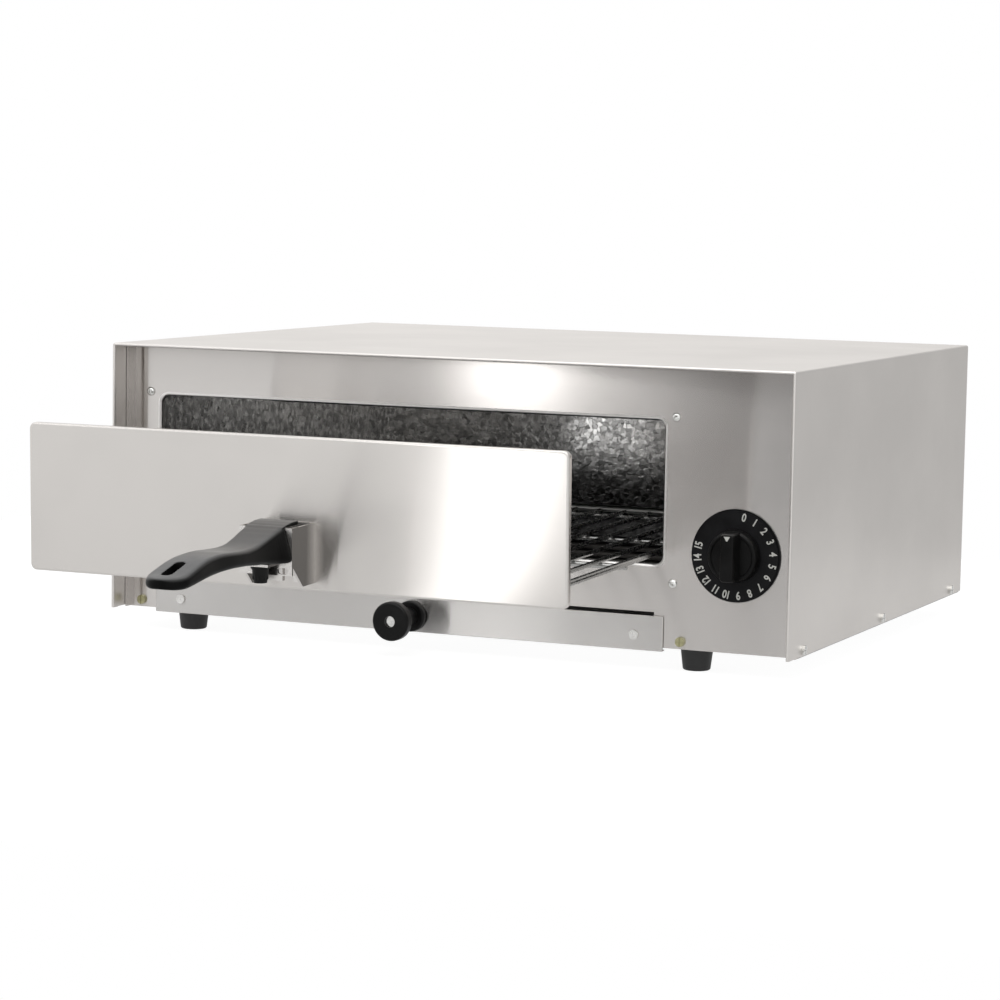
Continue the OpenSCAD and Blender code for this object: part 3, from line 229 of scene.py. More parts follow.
def galvanised(name, color, rough, flake=170.0, contrast=0.3, tilt=0.35, low_painted_shade=1.0):
    """Zinc-coated sheet: soft crystal flakes of their own shade, shine and lie, darkened low down as painted
    shade.
    """
    mat, tree, bsdf = shader(name)
    plain = places(tree, (1, 1, 1))
    warp = node(tree, "ShaderNodeTexNoise", {"Vector": plain, "Scale": flake * 1.3, "Detail": 2.0})
    shift = scaled(tree, warp.outputs["Color"], 1.1 / flake)
    moved = node(tree, "ShaderNodeVectorMath", {0: plain, 1: shift}, operation="ADD").outputs["Vector"]
    flakes = node(
        tree, "ShaderNodeTexVoronoi", {"Vector": moved, "Scale": flake, "Smoothness": 0.35},
        feature="SMOOTH_F1"
    )
    shade = node(tree, "ShaderNodeSeparateColor", {"Color": flakes.outputs["Color"]})
    bsdf.inputs["Metallic"].default_value = 1.0
    tint = tinted(tree, color, shade.outputs["Red"], 1 - contrast, 1 + contrast, 0.1, 0.9)
    # Painted shade: darker below the height band.
    tint = scaled(tree, tint, ramp(tree, part_of(tree, plain, "Z"), low_painted_shade, 1.0, PAINTED_SHADE_FROM, PAINTED_SHADE_TO))
    shine = ramp(tree, shade.outputs["Green"], rough - 0.06, rough + 0.08, 0.0, 1.0)
    tree.links.new(tint, bsdf.inputs["Base Color"])
    tree.links.new(shine, bsdf.inputs["Roughness"])
    tree.links.new(bumped(tree, shade.outputs["Blue"], tilt, 0.0003), bsdf.inputs["Normal"])
    return mat


def plain_metal(name, color, rough, stretch=(300, 300, 300), spread=0.08):
    """Drawn, plated or turned metal with a slightly uneven shine."""
    mat, tree, bsdf = shader(name)
    grain = noise(tree, stretch, 3.0)
    bsdf.inputs["Metallic"].default_value = 1.0
    tree.links.new(tinted(tree, color, grain, 0.9, 1.08), bsdf.inputs["Base Color"])
    tree.links.new(ramp(tree, grain, rough - spread / 2, rough + spread / 2), bsdf.inputs["Roughness"])
    return mat


def moulded(name, color, rough, stipple=900.0, bump=0.12, wear=0.35, shine=0.5, painted_top_sheen=0.0):
    """Moulded plastic, ceramic or rubber: a fine stipple, rubbed patches and a coat on upward faces, a painted
    sheen on the top.
    """
    mat, tree, bsdf = shader(name)
    fine = noise(tree, (stipple, stipple, stipple), 2.0)
    patches = noise(tree, (60, 60, 60), 3.0)
    tree.links.new(tinted(tree, color, patches, 1 - wear, 1 + wear), bsdf.inputs["Base Color"])
    tree.links.new(ramp(tree, patches, rough - 0.06, rough + 0.08), bsdf.inputs["Roughness"])
    tree.links.new(bumped(tree, fine, bump, 0.0001), bsdf.inputs["Normal"])
    bsdf.inputs["Specular IOR Level"].default_value = shine
    if painted_top_sheen:
        # Painted sheen: a coat only on faces that look up, so the top shows lighter.
        lie = node(tree, "ShaderNodeNewGeometry").outputs["Normal"]
        upward = ramp(tree, part_of(tree, lie, "Z"), 0.0, painted_top_sheen, 0.25, 0.75)
        tree.links.new(upward, bsdf.inputs["Coat Weight"])
        bsdf.inputs["Coat Roughness"].default_value = 0.35
    return mat


ALONG_Y = (900, 12, 900)
ALONG_Z = (1100, 1100, 14)
ALONG_X = (12, 900, 1100)
MATERIALS = {
    # The cover's undersides are darkened as painted shade.
    "cover_steel": brushed("cover_steel", (0.70, 0.675, 0.65), 0.095, 0.095, ALONG_Y, painted_underside_shade=0.55),
    "panel_steel": brushed("panel_steel", (0.64, 0.615, 0.595), 0.005, 0.20, ALONG_X),
    "door_steel": brushed("door_steel", (0.665, 0.64, 0.615), 0.004, 0.18, ALONG_X),
    "tray_steel": brushed("tray_steel", (0.59, 0.575, 0.56), 0.012, 0.24, ALONG_X),
    "tray_aluminium": brushed("tray_aluminium", (0.62, 0.62, 0.62), 0.10, 0.25, ALONG_X),
    "base_galvanised": galvanised("base_galvanised", (0.52, 0.52, 0.515), 0.38, 190.0, 0.12, 0.2),
    # The lining's last number darkens it low down as painted shade.
    "liner_galvanised": galvanised(
        "liner_galvanised", (0.56, 0.555, 0.545), 0.20, 300.0, 0.42, 0.3, 0.3
    ),
    "element_sheath": plain_metal("element_sheath", (0.10, 0.095, 0.09), 0.45),
    "spring_steel": plain_metal("spring_steel", (0.55, 0.55, 0.54), 0.32),
    "bush_ceramic": moulded("bush_ceramic", (0.84, 0.82, 0.77), 0.55, 1500.0, 0.1, 0.05),
    "terminal_brass": plain_metal("terminal_brass", (0.72, 0.56, 0.26), 0.30),
    "foot_rubber": moulded("foot_rubber", (0.018, 0.018, 0.018), 0.50, 1200.0, 0.2),
    "screw_zinc": plain_metal("screw_zinc", (0.72, 0.72, 0.70), 0.14),
    "screw_passivated": plain_metal("screw_passivated", (0.42, 0.40, 0.24), 0.32),
    "rivet_steel": plain_metal("rivet_steel", (0.74, 0.73, 0.71), 0.26),
    "dial_plastic": moulded("dial_plastic", (0.010, 0.010, 0.011), 0.45, 1400.0, 0.05, 0.35, 0.12),
    "case_plastic": moulded("case_plastic", (0.45, 0.36, 0.22), 0.5),
    "thermostat_metal": plain_metal("thermostat_metal", (0.62, 0.62, 0.62), 0.3),
    "block_ceramic": moulded("block_ceramic", (0.86, 0.85, 0.80), 0.25, 1500.0, 0.03, 0.04),
    "lead_insulation": moulded("lead_insulation", (0.40, 0.07, 0.05), 0.5, 1500.0, 0.05, 0.1),
    "gland_plastic": moulded("gland_plastic", (0.025, 0.025, 0.025), 0.45),
    "rod_steel": plain_metal("rod_steel", (0.30, 0.30, 0.29), 0.38),
    "rack_wire": plain_metal("rack_wire", (0.40, 0.40, 0.39), 0.26),
    # The bracket's last number darkens its sides as painted shade.
    "bracket_steel": brushed("bracket_steel", (0.66, 0.64, 0.62), 0.03, 0.12, ALONG_Z, 0.03, 0.02, 0.28),
    "handle_plastic": moulded(
        "handle_plastic", (0.006, 0.006, 0.006), 0.38, 1100.0, 0.08, 0.35, 0.06, 1.0
    ),
    "nut_plastic": moulded("nut_plastic", (0.012, 0.012, 0.012), 0.45, 900.0, 0.12, 0.35, 0.15),
    "tray_knob_plastic": moulded(
        "tray_knob_plastic", (0.010, 0.010, 0.010), 0.36, 1100.0, 0.06, 0.35, 0.15, 0.6
    ),
    "shaft_brass": plain_metal("shaft_brass", (0.70, 0.55, 0.26), 0.28),
    "knob_plastic": moulded("knob_plastic", (0.007, 0.007, 0.007), 0.34, 1300.0, 0.05, 0.35, 0.12, 0.8),
}
# The rim's steel is lighter than the panel's: a painted highlight along the rolled rim of the opening.
rim_painted_highlight_steel = brushed("rim_painted_highlight_steel", (0.88, 0.86, 0.84), 0.10, 0.20, ALONG_X)
figure_paint = moulded("figure_paint", (0.74, 0.74, 0.70), 0.5, 1800.0, 0.05, 0.06)

SMOOTH_BELOW = math.radians(32)


def finish_mesh(mesh, material, soft):
    """Smooth shading, with the level and upright faces kept truly flat unless the piece is soft."""
    mesh.materials.clear()
    mesh.materials.append(material)
    mesh.set_sharp_from_angle(angle=SMOOTH_BELOW)
    for face in mesh.polygons:
        face.use_smooth = soft or max(abs(c) for c in face.normal) < 0.9999


for part in frame["record"]["subparts"]:
    carried = frame["nodes"][part["node"]]
    carried.data.materials.clear()
    carried.data.materials.append(MATERIALS[part["material_slot"]])

slot_of = {part["node"]: part["material_slot"] for part in frame["record"]["subparts"]}

# Mesh helpers


def piece(name, bm, body, stands_for=(), material=None, place=None, soft=False):
    """A finished piece from a bmesh: material, moving body and the CAD nodes that it stands for."""
    bmesh.ops.recalc_face_normals(bm, faces=bm.faces)
    mesh = bpy.data.meshes.new(name)
    bm.to_mesh(mesh)
    bm.free()
    slot = slot_of[stands_for[0]] if stands_for else None
    finish_mesh(mesh, material or MATERIALS[slot], soft)
    made = bpy.data.objects.new(name, mesh)
    bpy.context.scene.collection.objects.link(made)
    if place is not None:
        mesh.transform(place)
    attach(made, body)
    if slot:
        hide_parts(*stands_for)
    return made


def loft(bm, rings, caps=(True, True), closed=True, wrap=False):
    """Skins a list of rings of points that all have the same count."""
    rows = [[bm.verts.new(p) for p in ring] for ring in rings]
    count = len(rows[0])
    pairs = list(zip(rows, rows[1:]))
    if wrap:
        pairs.append((rows[-1], rows[0]))
    for a, b in pairs:
        for i in range(count if closed else count - 1):
            j = (i + 1) % count
            bm.faces.new((a[i], a[j], b[j], b[i]))
    if closed and not wrap:
        if caps[0]:
            bm.faces.new(reversed(rows[0]))
        if caps[1]:
            bm.faces.new(rows[-1])
    return rows


def arc(cx, cy, r, start, end, steps):
    return [
        (cx + r * math.cos(math.radians(start + (end - start) * i / steps)),
         cy + r * math.sin(math.radians(start + (end - start) * i / steps)))
        for i in range(steps + 1)
    ]


def rounded_rect(left, right, bottom, top, r, steps=6):
    """Corner points of a rounded rectangle, anticlockwise from the lower right."""
    return (
        arc(right - r, bottom + r, r, -90, 0, steps) + arc(right - r, top - r, r, 0, 90, steps)
        + arc(left + r, top - r, r, 90, 180, steps) + arc(left + r, bottom + r, r, 180, 270, steps)
    )


def grown(left, right, bottom, top, r, by, steps=6):
    return rounded_rect(left - by, right + by, bottom - by, top + by, max(r + by, 0.2 * MM), steps)


def turned(bm, profile, centre, axis_turn, steps=64):
    """A body of revolution from (radius, height) pairs; height runs along the turned Z axis."""
    place = Matrix.Translation(centre) @ axis_turn
    angles = [2 * math.pi * i / steps for i in range(steps)]
    loft(bm, [
        [place @ Vector((radius * math.cos(a), radius * math.sin(a), height)) for a in angles]
        for radius, height in profile
    ])


def rolled(r, end=90, step=15):
    """Points round a folded edge of radius r, from (r, 0) inwards, over the angle end."""
    turns = [math.radians(t) for t in range(0, end + 1, step)]
    return [(r * (1 - math.sin(t)), r * (1 - math.cos(t))) for t in turns]


def filled_sheet(bm, outer, holes, y_front, thickness):
    """A flat upright sheet in the XZ plane with holes, from its outlines as (x, z) points."""
    for y in (y_front, y_front + thickness):
        edges = []
        for outline in [outer] + holes:
            verts = [bm.verts.new((x, y, z)) for x, z in outline]
            edges += [bm.edges.new((verts[i], verts[(i + 1) % len(verts)])) for i in range(len(verts))]
        bmesh.ops.triangle_fill(bm, use_beauty=True, use_dissolve=False, edges=edges)
    bm.verts.ensure_lookup_table()
    start = 0
    half = sum(len(o) for o in [outer] + holes)
    for outline in [outer] + holes:
        count = len(outline)
        for i in range(count):
            a, b = start + i, start + (i + 1) % count
            bm.faces.new((bm.verts[a], bm.verts[b], bm.verts[half + b], bm.verts[half + a]))
        start += count


# Outer cover: one bent sheet with a hem folded in along its front edges

BEND = 1.6 * MM
HEM = 6.0 * MM


def make_cover():
    left, right = cover_low.x, cover_high.x
    bottom, top = cover_low.z, cover_high.z

    def corner(centre_x, angles):
        """Places round a bend, each with the way to the inside."""
        ways = [(math.cos(math.radians(a)), math.sin(math.radians(a))) for a in angles]
        return [((centre_x + BEND * c, top - BEND + BEND * s), (-c, -s)) for c, s in ways]

    path = [((left, bottom), (1, 0)), ((left, (bottom + top) / 2), (1, 0)), ((left, top - BEND), (1, 0))]
    path += corner(left + BEND, range(165, 89, -15))
    path += [(((left + right) / 2, top), (0, -1))]
    path += corner(right - BEND, range(90, -1, -15))
    path += [((right, (bottom + top) / 2), (-1, 0)), ((right, bottom), (-1, 0))]
    y0, y1 = cover_low.y, cover_high.y
    fold = [(y0 + out, inset) for out, inset in rolled(sheet, 180, 30)]
    section = [(y1, 0)] + fold + [(y0 + HEM, 2 * sheet), (y0 + HEM, sheet), (y1, sheet)]
    bm = bmesh.new()
    loft(bm, [
        [(x + nx * inset, y, z + nz * inset) for y, inset in section] for (x, z), (nx, nz) in path
    ])
    return piece("cover_shell", bm, "housing", ["outer_cover"])


make_cover()

# Front panel: a sheet whose opening has a rolled rim

ROLL = 2.0 * MM
RIM_DEPTH = 4.0 * MM
OPENING_LEFT, OPENING_RIGHT = mid_x - 177.25 * MM, mid_x + 177.25 * MM
OPENING_BOTTOM, OPENING_TOP = 66.0 * MM, 155.5 * MM
OPENING_R = 5.0 * MM
NOTCH_HALF = 173.0 * MM
NOTCH_TOP = 36.0 * MM
FLANGE_FOOT = 28.0 * MM
FLANGE_GAP = 0.25 * MM


def make_front_panel():
    left, right, bottom, top = panel_low.x, panel_high.x, panel_low.z, panel_high.z
    outer = [
        (left, bottom), (mid_x - NOTCH_HALF, bottom), (mid_x - NOTCH_HALF, NOTCH_TOP),
        (mid_x + NOTCH_HALF, NOTCH_TOP), (mid_x + NOTCH_HALF, bottom), (right, bottom),
        (right, top), (left, top),
    ]
    opening = (OPENING_LEFT, OPENING_RIGHT, OPENING_BOTTOM, OPENING_TOP, OPENING_R)
    bm = bmesh.new()
    filled_sheet(bm, outer, [grown(*opening, ROLL)], panel_y, sheet)
    back = [(0, RIM_DEPTH), (sheet, RIM_DEPTH), (sheet, ROLL + 0.2 * MM), (ROLL + 0.1 * MM, sheet)]
    profile = rolled(ROLL) + back
    rim = bmesh.new()
    rings = [[(x, panel_y + depth, z) for x, z in grown(*opening, out)] for out, depth in profile]
    loft(rim, rings, caps=(False, False))
    # The rim gets the lighter steel, a painted highlight.
    piece("opening_rim", rim, "housing", material=rim_painted_highlight_steel)
    behind = panel_y + sheet
    flange = [(behind, FLANGE_FOOT), (panel_high.y, FLANGE_FOOT), (panel_high.y, top), (behind, top)]
    edge = [(panel_low.y, bottom), (behind, bottom), (behind, top), (panel_low.y, top)]
    for side, x in ((1, left), (-1, right)):
        for outline, gaps in ((flange, (0, sheet)), (edge, (FLANGE_GAP, sheet))):
            loft(bm, [[(x + side * gap, y, z) for y, z in outline] for gap in gaps])
    return piece("front_panel_sheet", bm, "housing", ["front_panel"])


make_front_panel()

# Door: a shallow pan with rolled edges

DOOR_W, DOOR_H, DOOR_R, DOOR_D = 358.5 * MM, 91.5 * MM, 4.0 * MM, 4.5 * MM
DOOR_BOTTOM = 65.0 * MM
DOOR_FACE = -350.0 * MM
DOOR_SHEET = 1.2 * MM
DOOR_ROLL = 1.3 * MM


def make_door():
    rect = (mid_x - DOOR_W / 2, mid_x + DOOR_W / 2, DOOR_BOTTOM, DOOR_BOTTOM + DOOR_H, DOOR_R)
    inner = -DOOR_SHEET
    profile = [(-out, depth) for out, depth in rolled(DOOR_ROLL)] + [
        (0, DOOR_D - 0.2 * MM), (-0.2 * MM, DOOR_D), (inner + 0.2 * MM, DOOR_D),
        (inner, DOOR_D - 0.2 * MM), (inner, DOOR_SHEET + 0.5 * MM), (inner - 0.5 * MM, DOOR_SHEET),
    ]
    bm = bmesh.new()
    loft(bm, [[(x, DOOR_FACE + depth, z) for x, z in grown(*rect, out)] for out, depth in profile])
    return piece("door_pan", bm, "drawer", ["door_panel"], place=drawer_place)


make_door()

# Crumb tray's front plate

TRAY_EDGE = 0.35 * MM
TRAY_LIP = 0.8 * MM


def make_tray_front():
    rect = (tray_low.x, tray_high.x, tray_low.z, tray_high.z, 0.8 * MM)
    y = tray_low.y
    back = sheet - 0.1 * MM
    profile = [
        (-TRAY_EDGE, 0), (-TRAY_EDGE * 0.3, TRAY_EDGE * 0.3), (0, TRAY_EDGE), (0, back),
        (-0.1 * MM, sheet),
    ]
    bm = bmesh.new()
    loft(bm, [[(x, y + depth, z) for x, z in grown(*rect, out)] for out, depth in profile])
    low, high = tray_low.z, tray_low.z + TRAY_LIP
    lip = [(y + back, low), (tray_high.y, low), (tray_high.y, high), (y + back, high)]
    loft(bm, [[(x, py, pz) for py, pz in lip] for x in (tray_low.x + 0.5 * MM, tray_high.x - 0.5 * MM)])
    return piece("tray_front_plate", bm, "tray", ["tray_front"])


make_tray_front()

# Handle: a moulded grip with a slim waist and a flat hanging end

BRACKET_D, BRACKET_TOP = 30.0 * MM, 105.9 * MM
HANDLE_LEN = 126.5 * MM
HANDLE_TOP = BRACKET_TOP + 2.5 * MM
HANG_HALF_W, HANG_LEN, HANG_RIM = 3.25 * MM, 20.0 * MM, 7.5 * MM
TIP_R = 13.2 * MM
LIP_HALF_W, LIP_LEN, LIP_THICK, LIP_R = 12.5 * MM, 18.0 * MM, 2.4 * MM, 0.19 * MM
# Stations along the handle, all mm: distance out, top and bottom below the handle's top, half
# width at the top and lower down.
HANDLE_STATIONS = [
    (0, 1.5, 23.0, 13.2, 17.5), (4, 2.5, 22.8, 12.9, 16.6), (10, 4.1, 22.4, 12.7, 14.4),
    (20, 6.8, 21.4, 12.2, 12.9), (30, 9.1, 20.7, 12.0, 12.4), (40, 9.9, 19.7, 12.3, 12.5),
    (50, 9.7, 19.1, 12.7, 12.8), (60, 9.1, 18.7, 12.8, 12.9), (70, 8.6, 18.8, 12.4, 12.6),
    (80, 8.8, 19.3, 12.1, 12.4), (90, 9.6, 20.0, 12.4, 12.7), (100, 11.5, 21.0, 13.0, 13.2),
    (110, 14.0, 22.2, 13.2, 13.4), (118, 15.9, 22.8, 13.2, 13.4), (127, 17.0, 22.6, 13.2, 13.4),
]
EDGE_R = 3.0
CROWN = 1.2


def smooth_between(stations, u):
    """Catmull-Rom value of a table of stations at u."""
    i = max(k for k in range(len(stations) - 1) if stations[k][0] <= u)
    last = len(stations) - 1
    rows = [stations[max(i - 1, 0)], stations[i], stations[i + 1], stations[min(i + 2, last)]]
    t = (u - rows[1][0]) / (rows[2][0] - rows[1][0])
    out = []
    for a, b, c, d in zip(*[row[1:] for row in rows]):
        square, cube = 2 * a - 5 * b + 4 * c - d, 3 * b - a - 3 * c + d
        out.append(0.5 * (2 * b + (c - a) * t + square * t * t + cube * t ** 3))
    return out


def capsule(half_w, length, steps=10):
    """Outline of a slot along Y."""
    reach = length / 2 - half_w
    return arc(0, reach, half_w, 0, 180, steps) + arc(0, -reach, half_w, 180, 360, steps)


def evaluated(made):
    """The mesh of an object with its modifiers, or of a text, as it stands."""
    bpy.context.view_layer.update()
    return bpy.data.meshes.new_from_object(made.evaluated_get(bpy.context.evaluated_depsgraph_get()))


def combined(base, steps):
    """The mesh of an object after booleans, given as (operation, other object); all are used up."""
    for operation, other in steps:
        step = base.modifiers.new("step", "BOOLEAN")
        step.operation = operation
        step.solver = "EXACT"
        step.object = other
    mesh = evaluated(base)
    for made in [base] + [other for _, other in steps]:
        bpy.data.objects.remove(made)
    return mesh


def loose(name, bm):
    bmesh.ops.recalc_face_normals(bm, faces=bm.faces)
    mesh = bpy.data.meshes.new(name)
    bm.to_mesh(mesh)
    bm.free()
    made = bpy.data.objects.new(name, mesh)
    bpy.context.scene.collection.objects.link(made)
    return made


def remeshed(mesh, voxel, passes, name):
    made = bpy.data.objects.new(name, mesh)
    bpy.context.scene.collection.objects.link(made)
    step = made.modifiers.new("even", "REMESH")
    step.mode = "VOXEL"
    step.voxel_size = voxel
    soften = made.modifiers.new("soften", "SMOOTH")
    soften.iterations = passes
    soften.factor = 0.5
    out = evaluated(made)
    bpy.data.objects.remove(made)
    return out


def handle_ring(u):
    """Section of the handle u mm out: a rounded box with a crowned top."""
    top, bottom, half_top, half_low = smooth_between(HANDLE_STATIONS, u)
    tip_r = TIP_R / MM
    past = u - (HANDLE_LEN / MM - tip_r)
    if past > 0:
        scale = math.sqrt(max(tip_r ** 2 - past ** 2, 0.3)) / tip_r
        half_top *= scale
        half_low *= scale
        ease = 1.4 * (1 - scale) ** 2
        top += ease
        bottom -= ease
    r = min(EDGE_R, (bottom - top) * 0.46, half_top * 0.9)
    corners = (
        [(half_low + x, z) for x, z in arc(-r, -bottom + r, r, -90, 0, 6)]
        + [(half_top + x, z) for x, z in arc(-r, -top - r, r, 0, 90, 6)]
        + [(half_top * f, -top) for f in (0.5, 0.25, 0, -0.25, -0.5)]
        + [(-half_top + x, z) for x, z in arc(r, -top - r, r, 90, 180, 6)]
        + [(-half_low + x, z) for x, z in arc(r, -bottom + r, r, 180, 270, 6)]
    )
    crown = CROWN * min(1, max(0, (u - 60) / 40))
    out = []
    for x, z in corners:
        if z > -(top + bottom) / 2:
            z += crown * (1 - (x / half_top) ** 2)
        out.append((mid_x + x * MM, DOOR_FACE - BRACKET_D - u * MM, HANDLE_TOP + z * MM))
    return out


def make_handle():
    bm = bmesh.new()
    steps = 80
    reach = HANDLE_LEN / MM
    loft(bm, [handle_ring(reach * (1 - (1 - k / steps) ** 1.4)) for k in range(steps + 1)])
    body = loose("handle_body", bm)
    bm = bmesh.new()
    rings = []
    low = HANDLE_TOP - LIP_THICK
    for back, drop in ((-2.0, 2.0), (4.0, 0.9), (10.0, 0.2), (LIP_LEN / MM, 0.0)):
        top = HANDLE_TOP - drop * MM
        lip = rounded_rect(mid_x - LIP_HALF_W, mid_x + LIP_HALF_W, low, top, LIP_R, 3)
        rings.append([(x, DOOR_FACE - BRACKET_D + back * MM, z) for x, z in lip])
    loft(bm, rings)
    lip_body = loose("handle_lip", bm)
    hang_y = DOOR_FACE - BRACKET_D - HANDLE_LEN + HANG_RIM + HANG_LEN / 2
    bm = bmesh.new()
    slot = capsule(HANG_HALF_W, HANG_LEN)
    loft(bm, [[(mid_x + x, hang_y + y, z) for x, y in slot] for z in (60 * MM, 130 * MM)])
    mesh = combined(body, [("UNION", lip_body), ("DIFFERENCE", loose("hang_cut", bm))])
    mesh = remeshed(mesh, 0.6 * MM, 2, "handle_even")
    bm = bmesh.new()
    bm.from_mesh(mesh)
    return piece("handle_grip", bm, "drawer", ["handle"], place=drawer_place, soft=True)


make_handle()

# Screws round the opening: domed heads with a recess

TURN_TO_FRONT = Matrix.Rotation(math.radians(90), 4, "X")
SCREW_HEAD_R = 3.0 * MM


def make_liner_screws():
    low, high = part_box("liner_screws")
    reach = (high.y - panel_y) / MM
    profile = [
        (1.1, -reach), (1.5, 0.5 - reach), (1.5, 0.0), (3.0, 0.0), (3.0, 0.3), (2.8, 0.8), (2.4, 1.2),
        (1.8, 1.55), (1.2, 1.75), (1.0, 1.7), (0.8, 0.7), (0.1, 0.6),
    ]
    profile = [(r * MM, h * MM) for r, h in profile]
    bm = bmesh.new()
    for x in (low.x + SCREW_HEAD_R, high.x - SCREW_HEAD_R):
        for z in (low.z + SCREW_HEAD_R, high.z - SCREW_HEAD_R):
            turned(bm, profile, Vector((x, panel_y, z)), TURN_TO_FRONT, 24)
    return piece("liner_screw_heads", bm, "housing", ["liner_screws"])


make_liner_screws()

# Timer: figures on the dial, and the knob with its pointer mark

dial_centre = Vector(((dial_low.x + dial_high.x) / 2, dial_low.y, (dial_low.z + dial_high.z) / 2))
FIGURE_START = 12.0
FIGURE_STEP = 18.0
FIGURE_COUNT = 16
FIGURE_RADIUS = 24.2 * MM
FIGURE_SIZE = 6.9 * MM
FIGURE_BOLD = 0.17 * MM
FIGURE_NARROWED = Matrix.Diagonal((0.8, 1, 1, 1))


def make_figures():
    bm = bmesh.new()
    for k in range(FIGURE_COUNT):
        text = bpy.data.curves.new("figure", "FONT")
        text.body = str(k)
        text.size = FIGURE_SIZE
        text.align_x = "CENTER"
        text.align_y = "CENTER"
        text.extrude = 0.05 * MM
        text.offset = FIGURE_BOLD
        text.space_character = 0.86
        holder = bpy.data.objects.new("figure", text)
        bpy.context.scene.collection.objects.link(holder)
        mesh = evaluated(holder)
        bpy.data.objects.remove(holder)
        angle = math.radians(FIGURE_START + FIGURE_STEP * k)
        centre = dial_centre + Vector((math.sin(angle), 0, math.cos(angle))) * FIGURE_RADIUS
        round_dial = Matrix.Translation(centre) @ Matrix.Rotation(angle, 4, "Y")
        mesh.transform(round_dial @ TURN_TO_FRONT @ FIGURE_NARROWED)
        bm.from_mesh(mesh)
        bpy.data.meshes.remove(mesh)
    return piece("dial_figures", bm, "housing", material=figure_paint)


make_figures()

KNOB_R = 16.4 * MM
KNOB_BASE = 7.0 * MM
GRIP_OUT = 16.0 * MM


def make_timer_knob():
    bm = bmesh.new()
    r = KNOB_R
    profile = [
        (r - 0.6 * MM, 0), (r, 0.4 * MM), (r, 1.2 * MM), (r - 0.5 * MM, 5.6 * MM),
        (r - 1.0 * MM, 6.6 * MM), (r - 1.8 * MM, KNOB_BASE), (r - 2.8 * MM, KNOB_BASE),
        (r - 3.2 * MM, 6.5 * MM), (r - 3.6 * MM, 6.3 * MM), (2 * MM, 6.3 * MM),
    ]
    centre = Vector((dial_centre.x, knob_back, dial_centre.z))
    turned(bm, profile, centre, TURN_TO_FRONT)
    # Stations of the grip, all mm: distance out, half width and half height.
    stations = [
        (5.5, 5.6, 15.6), (9.0, 5.1, 15.3), (13.0, 4.6, 14.9), (15.2, 4.3, 14.6), (15.8, 3.9, 14.2),
        (16.0, 3.3, 13.6),
    ]
    rings = []
    for out, half_w, half_h in stations:
        outline = rounded_rect(-half_w * MM, half_w * MM, -half_h * MM, half_h * MM, 2.0 * MM, 5)
        rings.append([(centre.x + x, centre.y - out * MM, centre.z + z) for x, z in outline])
    loft(bm, rings)
    return piece("timer_knob_grip", bm, "timer", ["timer_knob"])


make_timer_knob()

POINTER_HALF_W = 2.0 * MM
POINTER_H = 2.8 * MM


def make_pointer():
    bm = bmesh.new()
    top = dial_centre.z + 13.4 * MM
    front = knob_back - GRIP_OUT - 0.06 * MM
    low = top - POINTER_H
    outline = [(-POINTER_HALF_W, top), (POINTER_HALF_W, top), (0.4 * MM, low), (-0.4 * MM, low)]
    loft(bm, [[(dial_centre.x + x, y, z) for x, z in outline] for y in (front, front + 0.2 * MM)])
    return piece("pointer_mark", bm, "timer", material=figure_paint)


make_pointer()

# Floor, world and lamps

FLOOR_SIZE = 1.3
# The floor's own brightness, as shiny faces mirror it and as the camera sees it.
FLOOR_MIRRORED = 0.64
FLOOR_SEEN = 0.92


def by_ray(tree, lit, mirrored, seen):
    """Tells rays apart: those that light, those that a shiny face sends, and the camera's own."""
    path = node(tree, "ShaderNodeLightPath").outputs
    shiny = reckon(tree, "MAXIMUM", path["Is Glossy Ray"], path["Is Transmission Ray"])
    mix = node(tree, "ShaderNodeMixShader", {0: shiny, 1: lit, 2: mirrored})
    mix = node(tree, "ShaderNodeMixShader", {0: path["Is Camera Ray"], 1: mix.outputs[0], 2: seen})
    return mix.outputs[0]


def make_floor():
    bpy.ops.mesh.primitive_plane_add(size=FLOOR_SIZE, location=(0, 0, 0))
    floor = bpy.context.object
    floor.name = "floor"
    mat = bpy.data.materials.new("floor_white")
    mat.use_nodes = True
    tree = mat.node_tree
    tree.nodes.clear()
    out = node(tree, "ShaderNodeOutputMaterial")
    faint = node(tree, "ShaderNodeBsdfDiffuse", {"Color": (0.22, 0.22, 0.22, 1)})
    tones = []
    for level in (FLOOR_MIRRORED, FLOOR_SEEN):
        glow = node(tree, "ShaderNodeEmission", {"Color": (1, 1, 1, 1), "Strength": level})
        both = node(tree, "ShaderNodeAddShader", {0: glow.outputs[0], 1: faint.outputs[0]})
        tones.append(both.outputs[0])
    plain = node(tree, "ShaderNodeBsdfDiffuse", {"Color": (0.78, 0.78, 0.77, 1)})
    tree.links.new(by_ray(tree, plain.outputs[0], *tones), out.inputs["Surface"])
    floor.data.materials.append(mat)


# The studio round the object, as the metal mirrors it: the angle from straight ahead of the
# object (0) towards its left (90), and the brightness there.
STUDIO = [
    (-180, 0.80), (-163, 0.64), (-120, 0.60), (-80, 0.60), (-65, 0.95), (-29, 0.95), (-26, 1.5),
    (-17, 1.5), (-12, 0.60), (0, 0.90), (15.5, 0.90), (17.8, 0.14), (19.3, 0.16), (20.6, 0.86),
    (21.6, 0.90), (24.0, 1.0), (30, 0.94), (40, 0.96), (90, 1.0), (157, 1.08), (180, 0.80),
]
# A tall strip light in front: its edges as the same angles, soft from the first to the second.
STRIP_RISE = (22.1, 22.9)
STRIP_FALL = (23.9, 24.5)
STRIP_LIGHT = 4.4
STUDIO_SCALE = 4.0
STUDIO_TOP = 0.9
STUDIO_FOOT = 0.85
# A soft light above and in front of the object.
STUDIO_FRONT_LIGHT = 2.2
# A large soft light high up behind the object.
STUDIO_BACK_LIGHT = 1.9
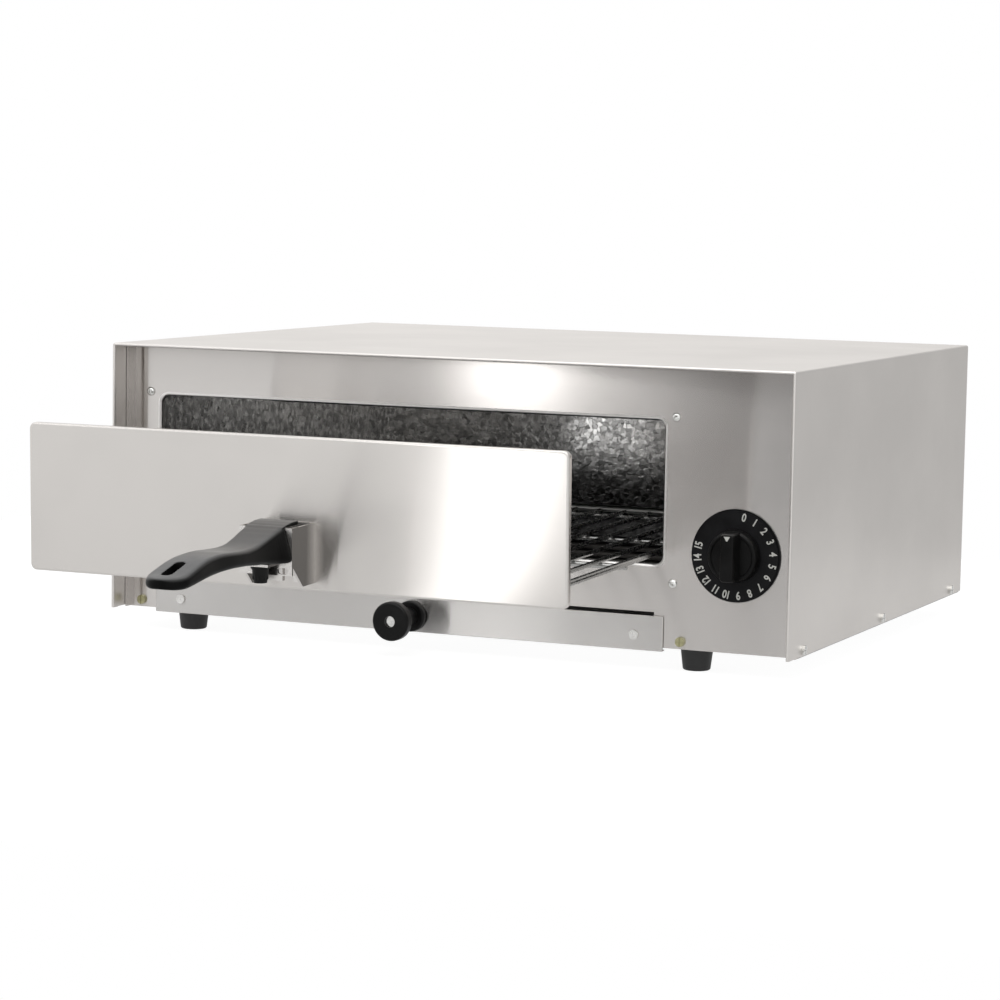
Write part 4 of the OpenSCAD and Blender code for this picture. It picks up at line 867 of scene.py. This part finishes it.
# What lights dull faces, and what the camera sees.
AMBIENT = 0.55
BACKDROP = 1.0
LAMP_SIZE = 2.4
LAMP_POWER = 22.0
LAMP_PLACE = Vector((0.2, -0.4, 2.6))
LAMP_AIM = Vector((0.0, 0.1, 0.0))


def make_world():
    world = bpy.data.worlds.new("studio")
    bpy.context.scene.world = world
    world.use_nodes = True
    tree = world.node_tree
    tree.nodes.clear()
    out = node(tree, "ShaderNodeOutputWorld")
    way = node(tree, "ShaderNodeTexCoord").outputs["Generated"]
    across, along, up = [part_of(tree, way, axis) for axis in "XYZ"]
    turn = reckon(
        tree, "ARCTAN2", reckon(tree, "MULTIPLY", across, -1.0), reckon(tree, "MULTIPLY", along, -1.0)
    )
    walls = node(tree, "ShaderNodeValToRGB", {"Fac": ramp(tree, turn, 0.0, 1.0, -math.pi, math.pi)})
    stops = walls.color_ramp.elements
    while len(stops) < len(STUDIO):
        stops.new(0.5)
    for stop, (angle, level) in zip(stops, STUDIO):
        stop.position = (angle + 180) / 360
        stop.color = [level / STUDIO_SCALE] * 3 + [1]
    rise = ramp(tree, turn, 0.0, 1.0, *[math.radians(a) for a in STRIP_RISE])
    fall = ramp(tree, turn, 1.0, 0.0, *[math.radians(a) for a in STRIP_FALL])
    strip = reckon(tree, "MULTIPLY", rise, fall)
    top = ramp(tree, up, 0.0, 1.0, 0.45, 0.85)
    foot = ramp(tree, up, 0.0, 1.0, -0.12, -0.35)
    behind = ramp(tree, along, 0.0, 1.0, 0.1, 0.3)
    back_light = reckon(tree, "MULTIPLY", behind, ramp(tree, up, 0.0, 1.0, 0.58, 0.76))
    ahead = ramp(tree, along, 1.0, 0.0, -0.3, -0.1)
    over = ramp(tree, up, 0.0, 1.0, 0.54, 0.60)
    under = ramp(tree, up, 1.0, 0.0, 0.72, 0.80)
    front_light = reckon(tree, "MULTIPLY", reckon(tree, "MULTIPLY", over, under), ahead)
    tone = walls.outputs["Color"]
    for share, level in (
        (strip, STRIP_LIGHT), (top, STUDIO_TOP), (foot, STUDIO_FOOT), (back_light, STUDIO_BACK_LIGHT),
        (front_light, STUDIO_FRONT_LIGHT)
    ):
        # The colour sockets of a mix node come after its number and vector ones.
        mix = node(tree, "ShaderNodeMix", {0: share, 6: tone}, data_type="RGBA")
        mix.inputs[7].default_value = [level / STUDIO_SCALE] * 3 + [1]
        tone = mix.outputs[2]
    studio = node(tree, "ShaderNodeBackground", {"Color": tone, "Strength": STUDIO_SCALE})
    plain = [
        node(tree, "ShaderNodeBackground", {"Color": (1, 1, 1, 1), "Strength": level}).outputs[0]
        for level in (AMBIENT, BACKDROP)
    ]
    tree.links.new(by_ray(tree, plain[0], studio.outputs[0], plain[1]), out.inputs["Surface"])


def make_lamp():
    """A large soft lamp overhead, which casts the object's faint shadow on the floor."""
    data = bpy.data.lights.new("overhead", "AREA")
    data.shape = "RECTANGLE"
    data.size = LAMP_SIZE
    data.size_y = LAMP_SIZE
    data.energy = LAMP_POWER
    lamp = bpy.data.objects.new("overhead", data)
    lamp.location = LAMP_PLACE
    lamp.rotation_euler = (LAMP_AIM - LAMP_PLACE).to_track_quat("-Z", "Y").to_euler()
    bpy.context.scene.collection.objects.link(lamp)


make_floor()
make_world()
make_lamp()

bpy.context.scene.view_settings.view_transform = "Standard"
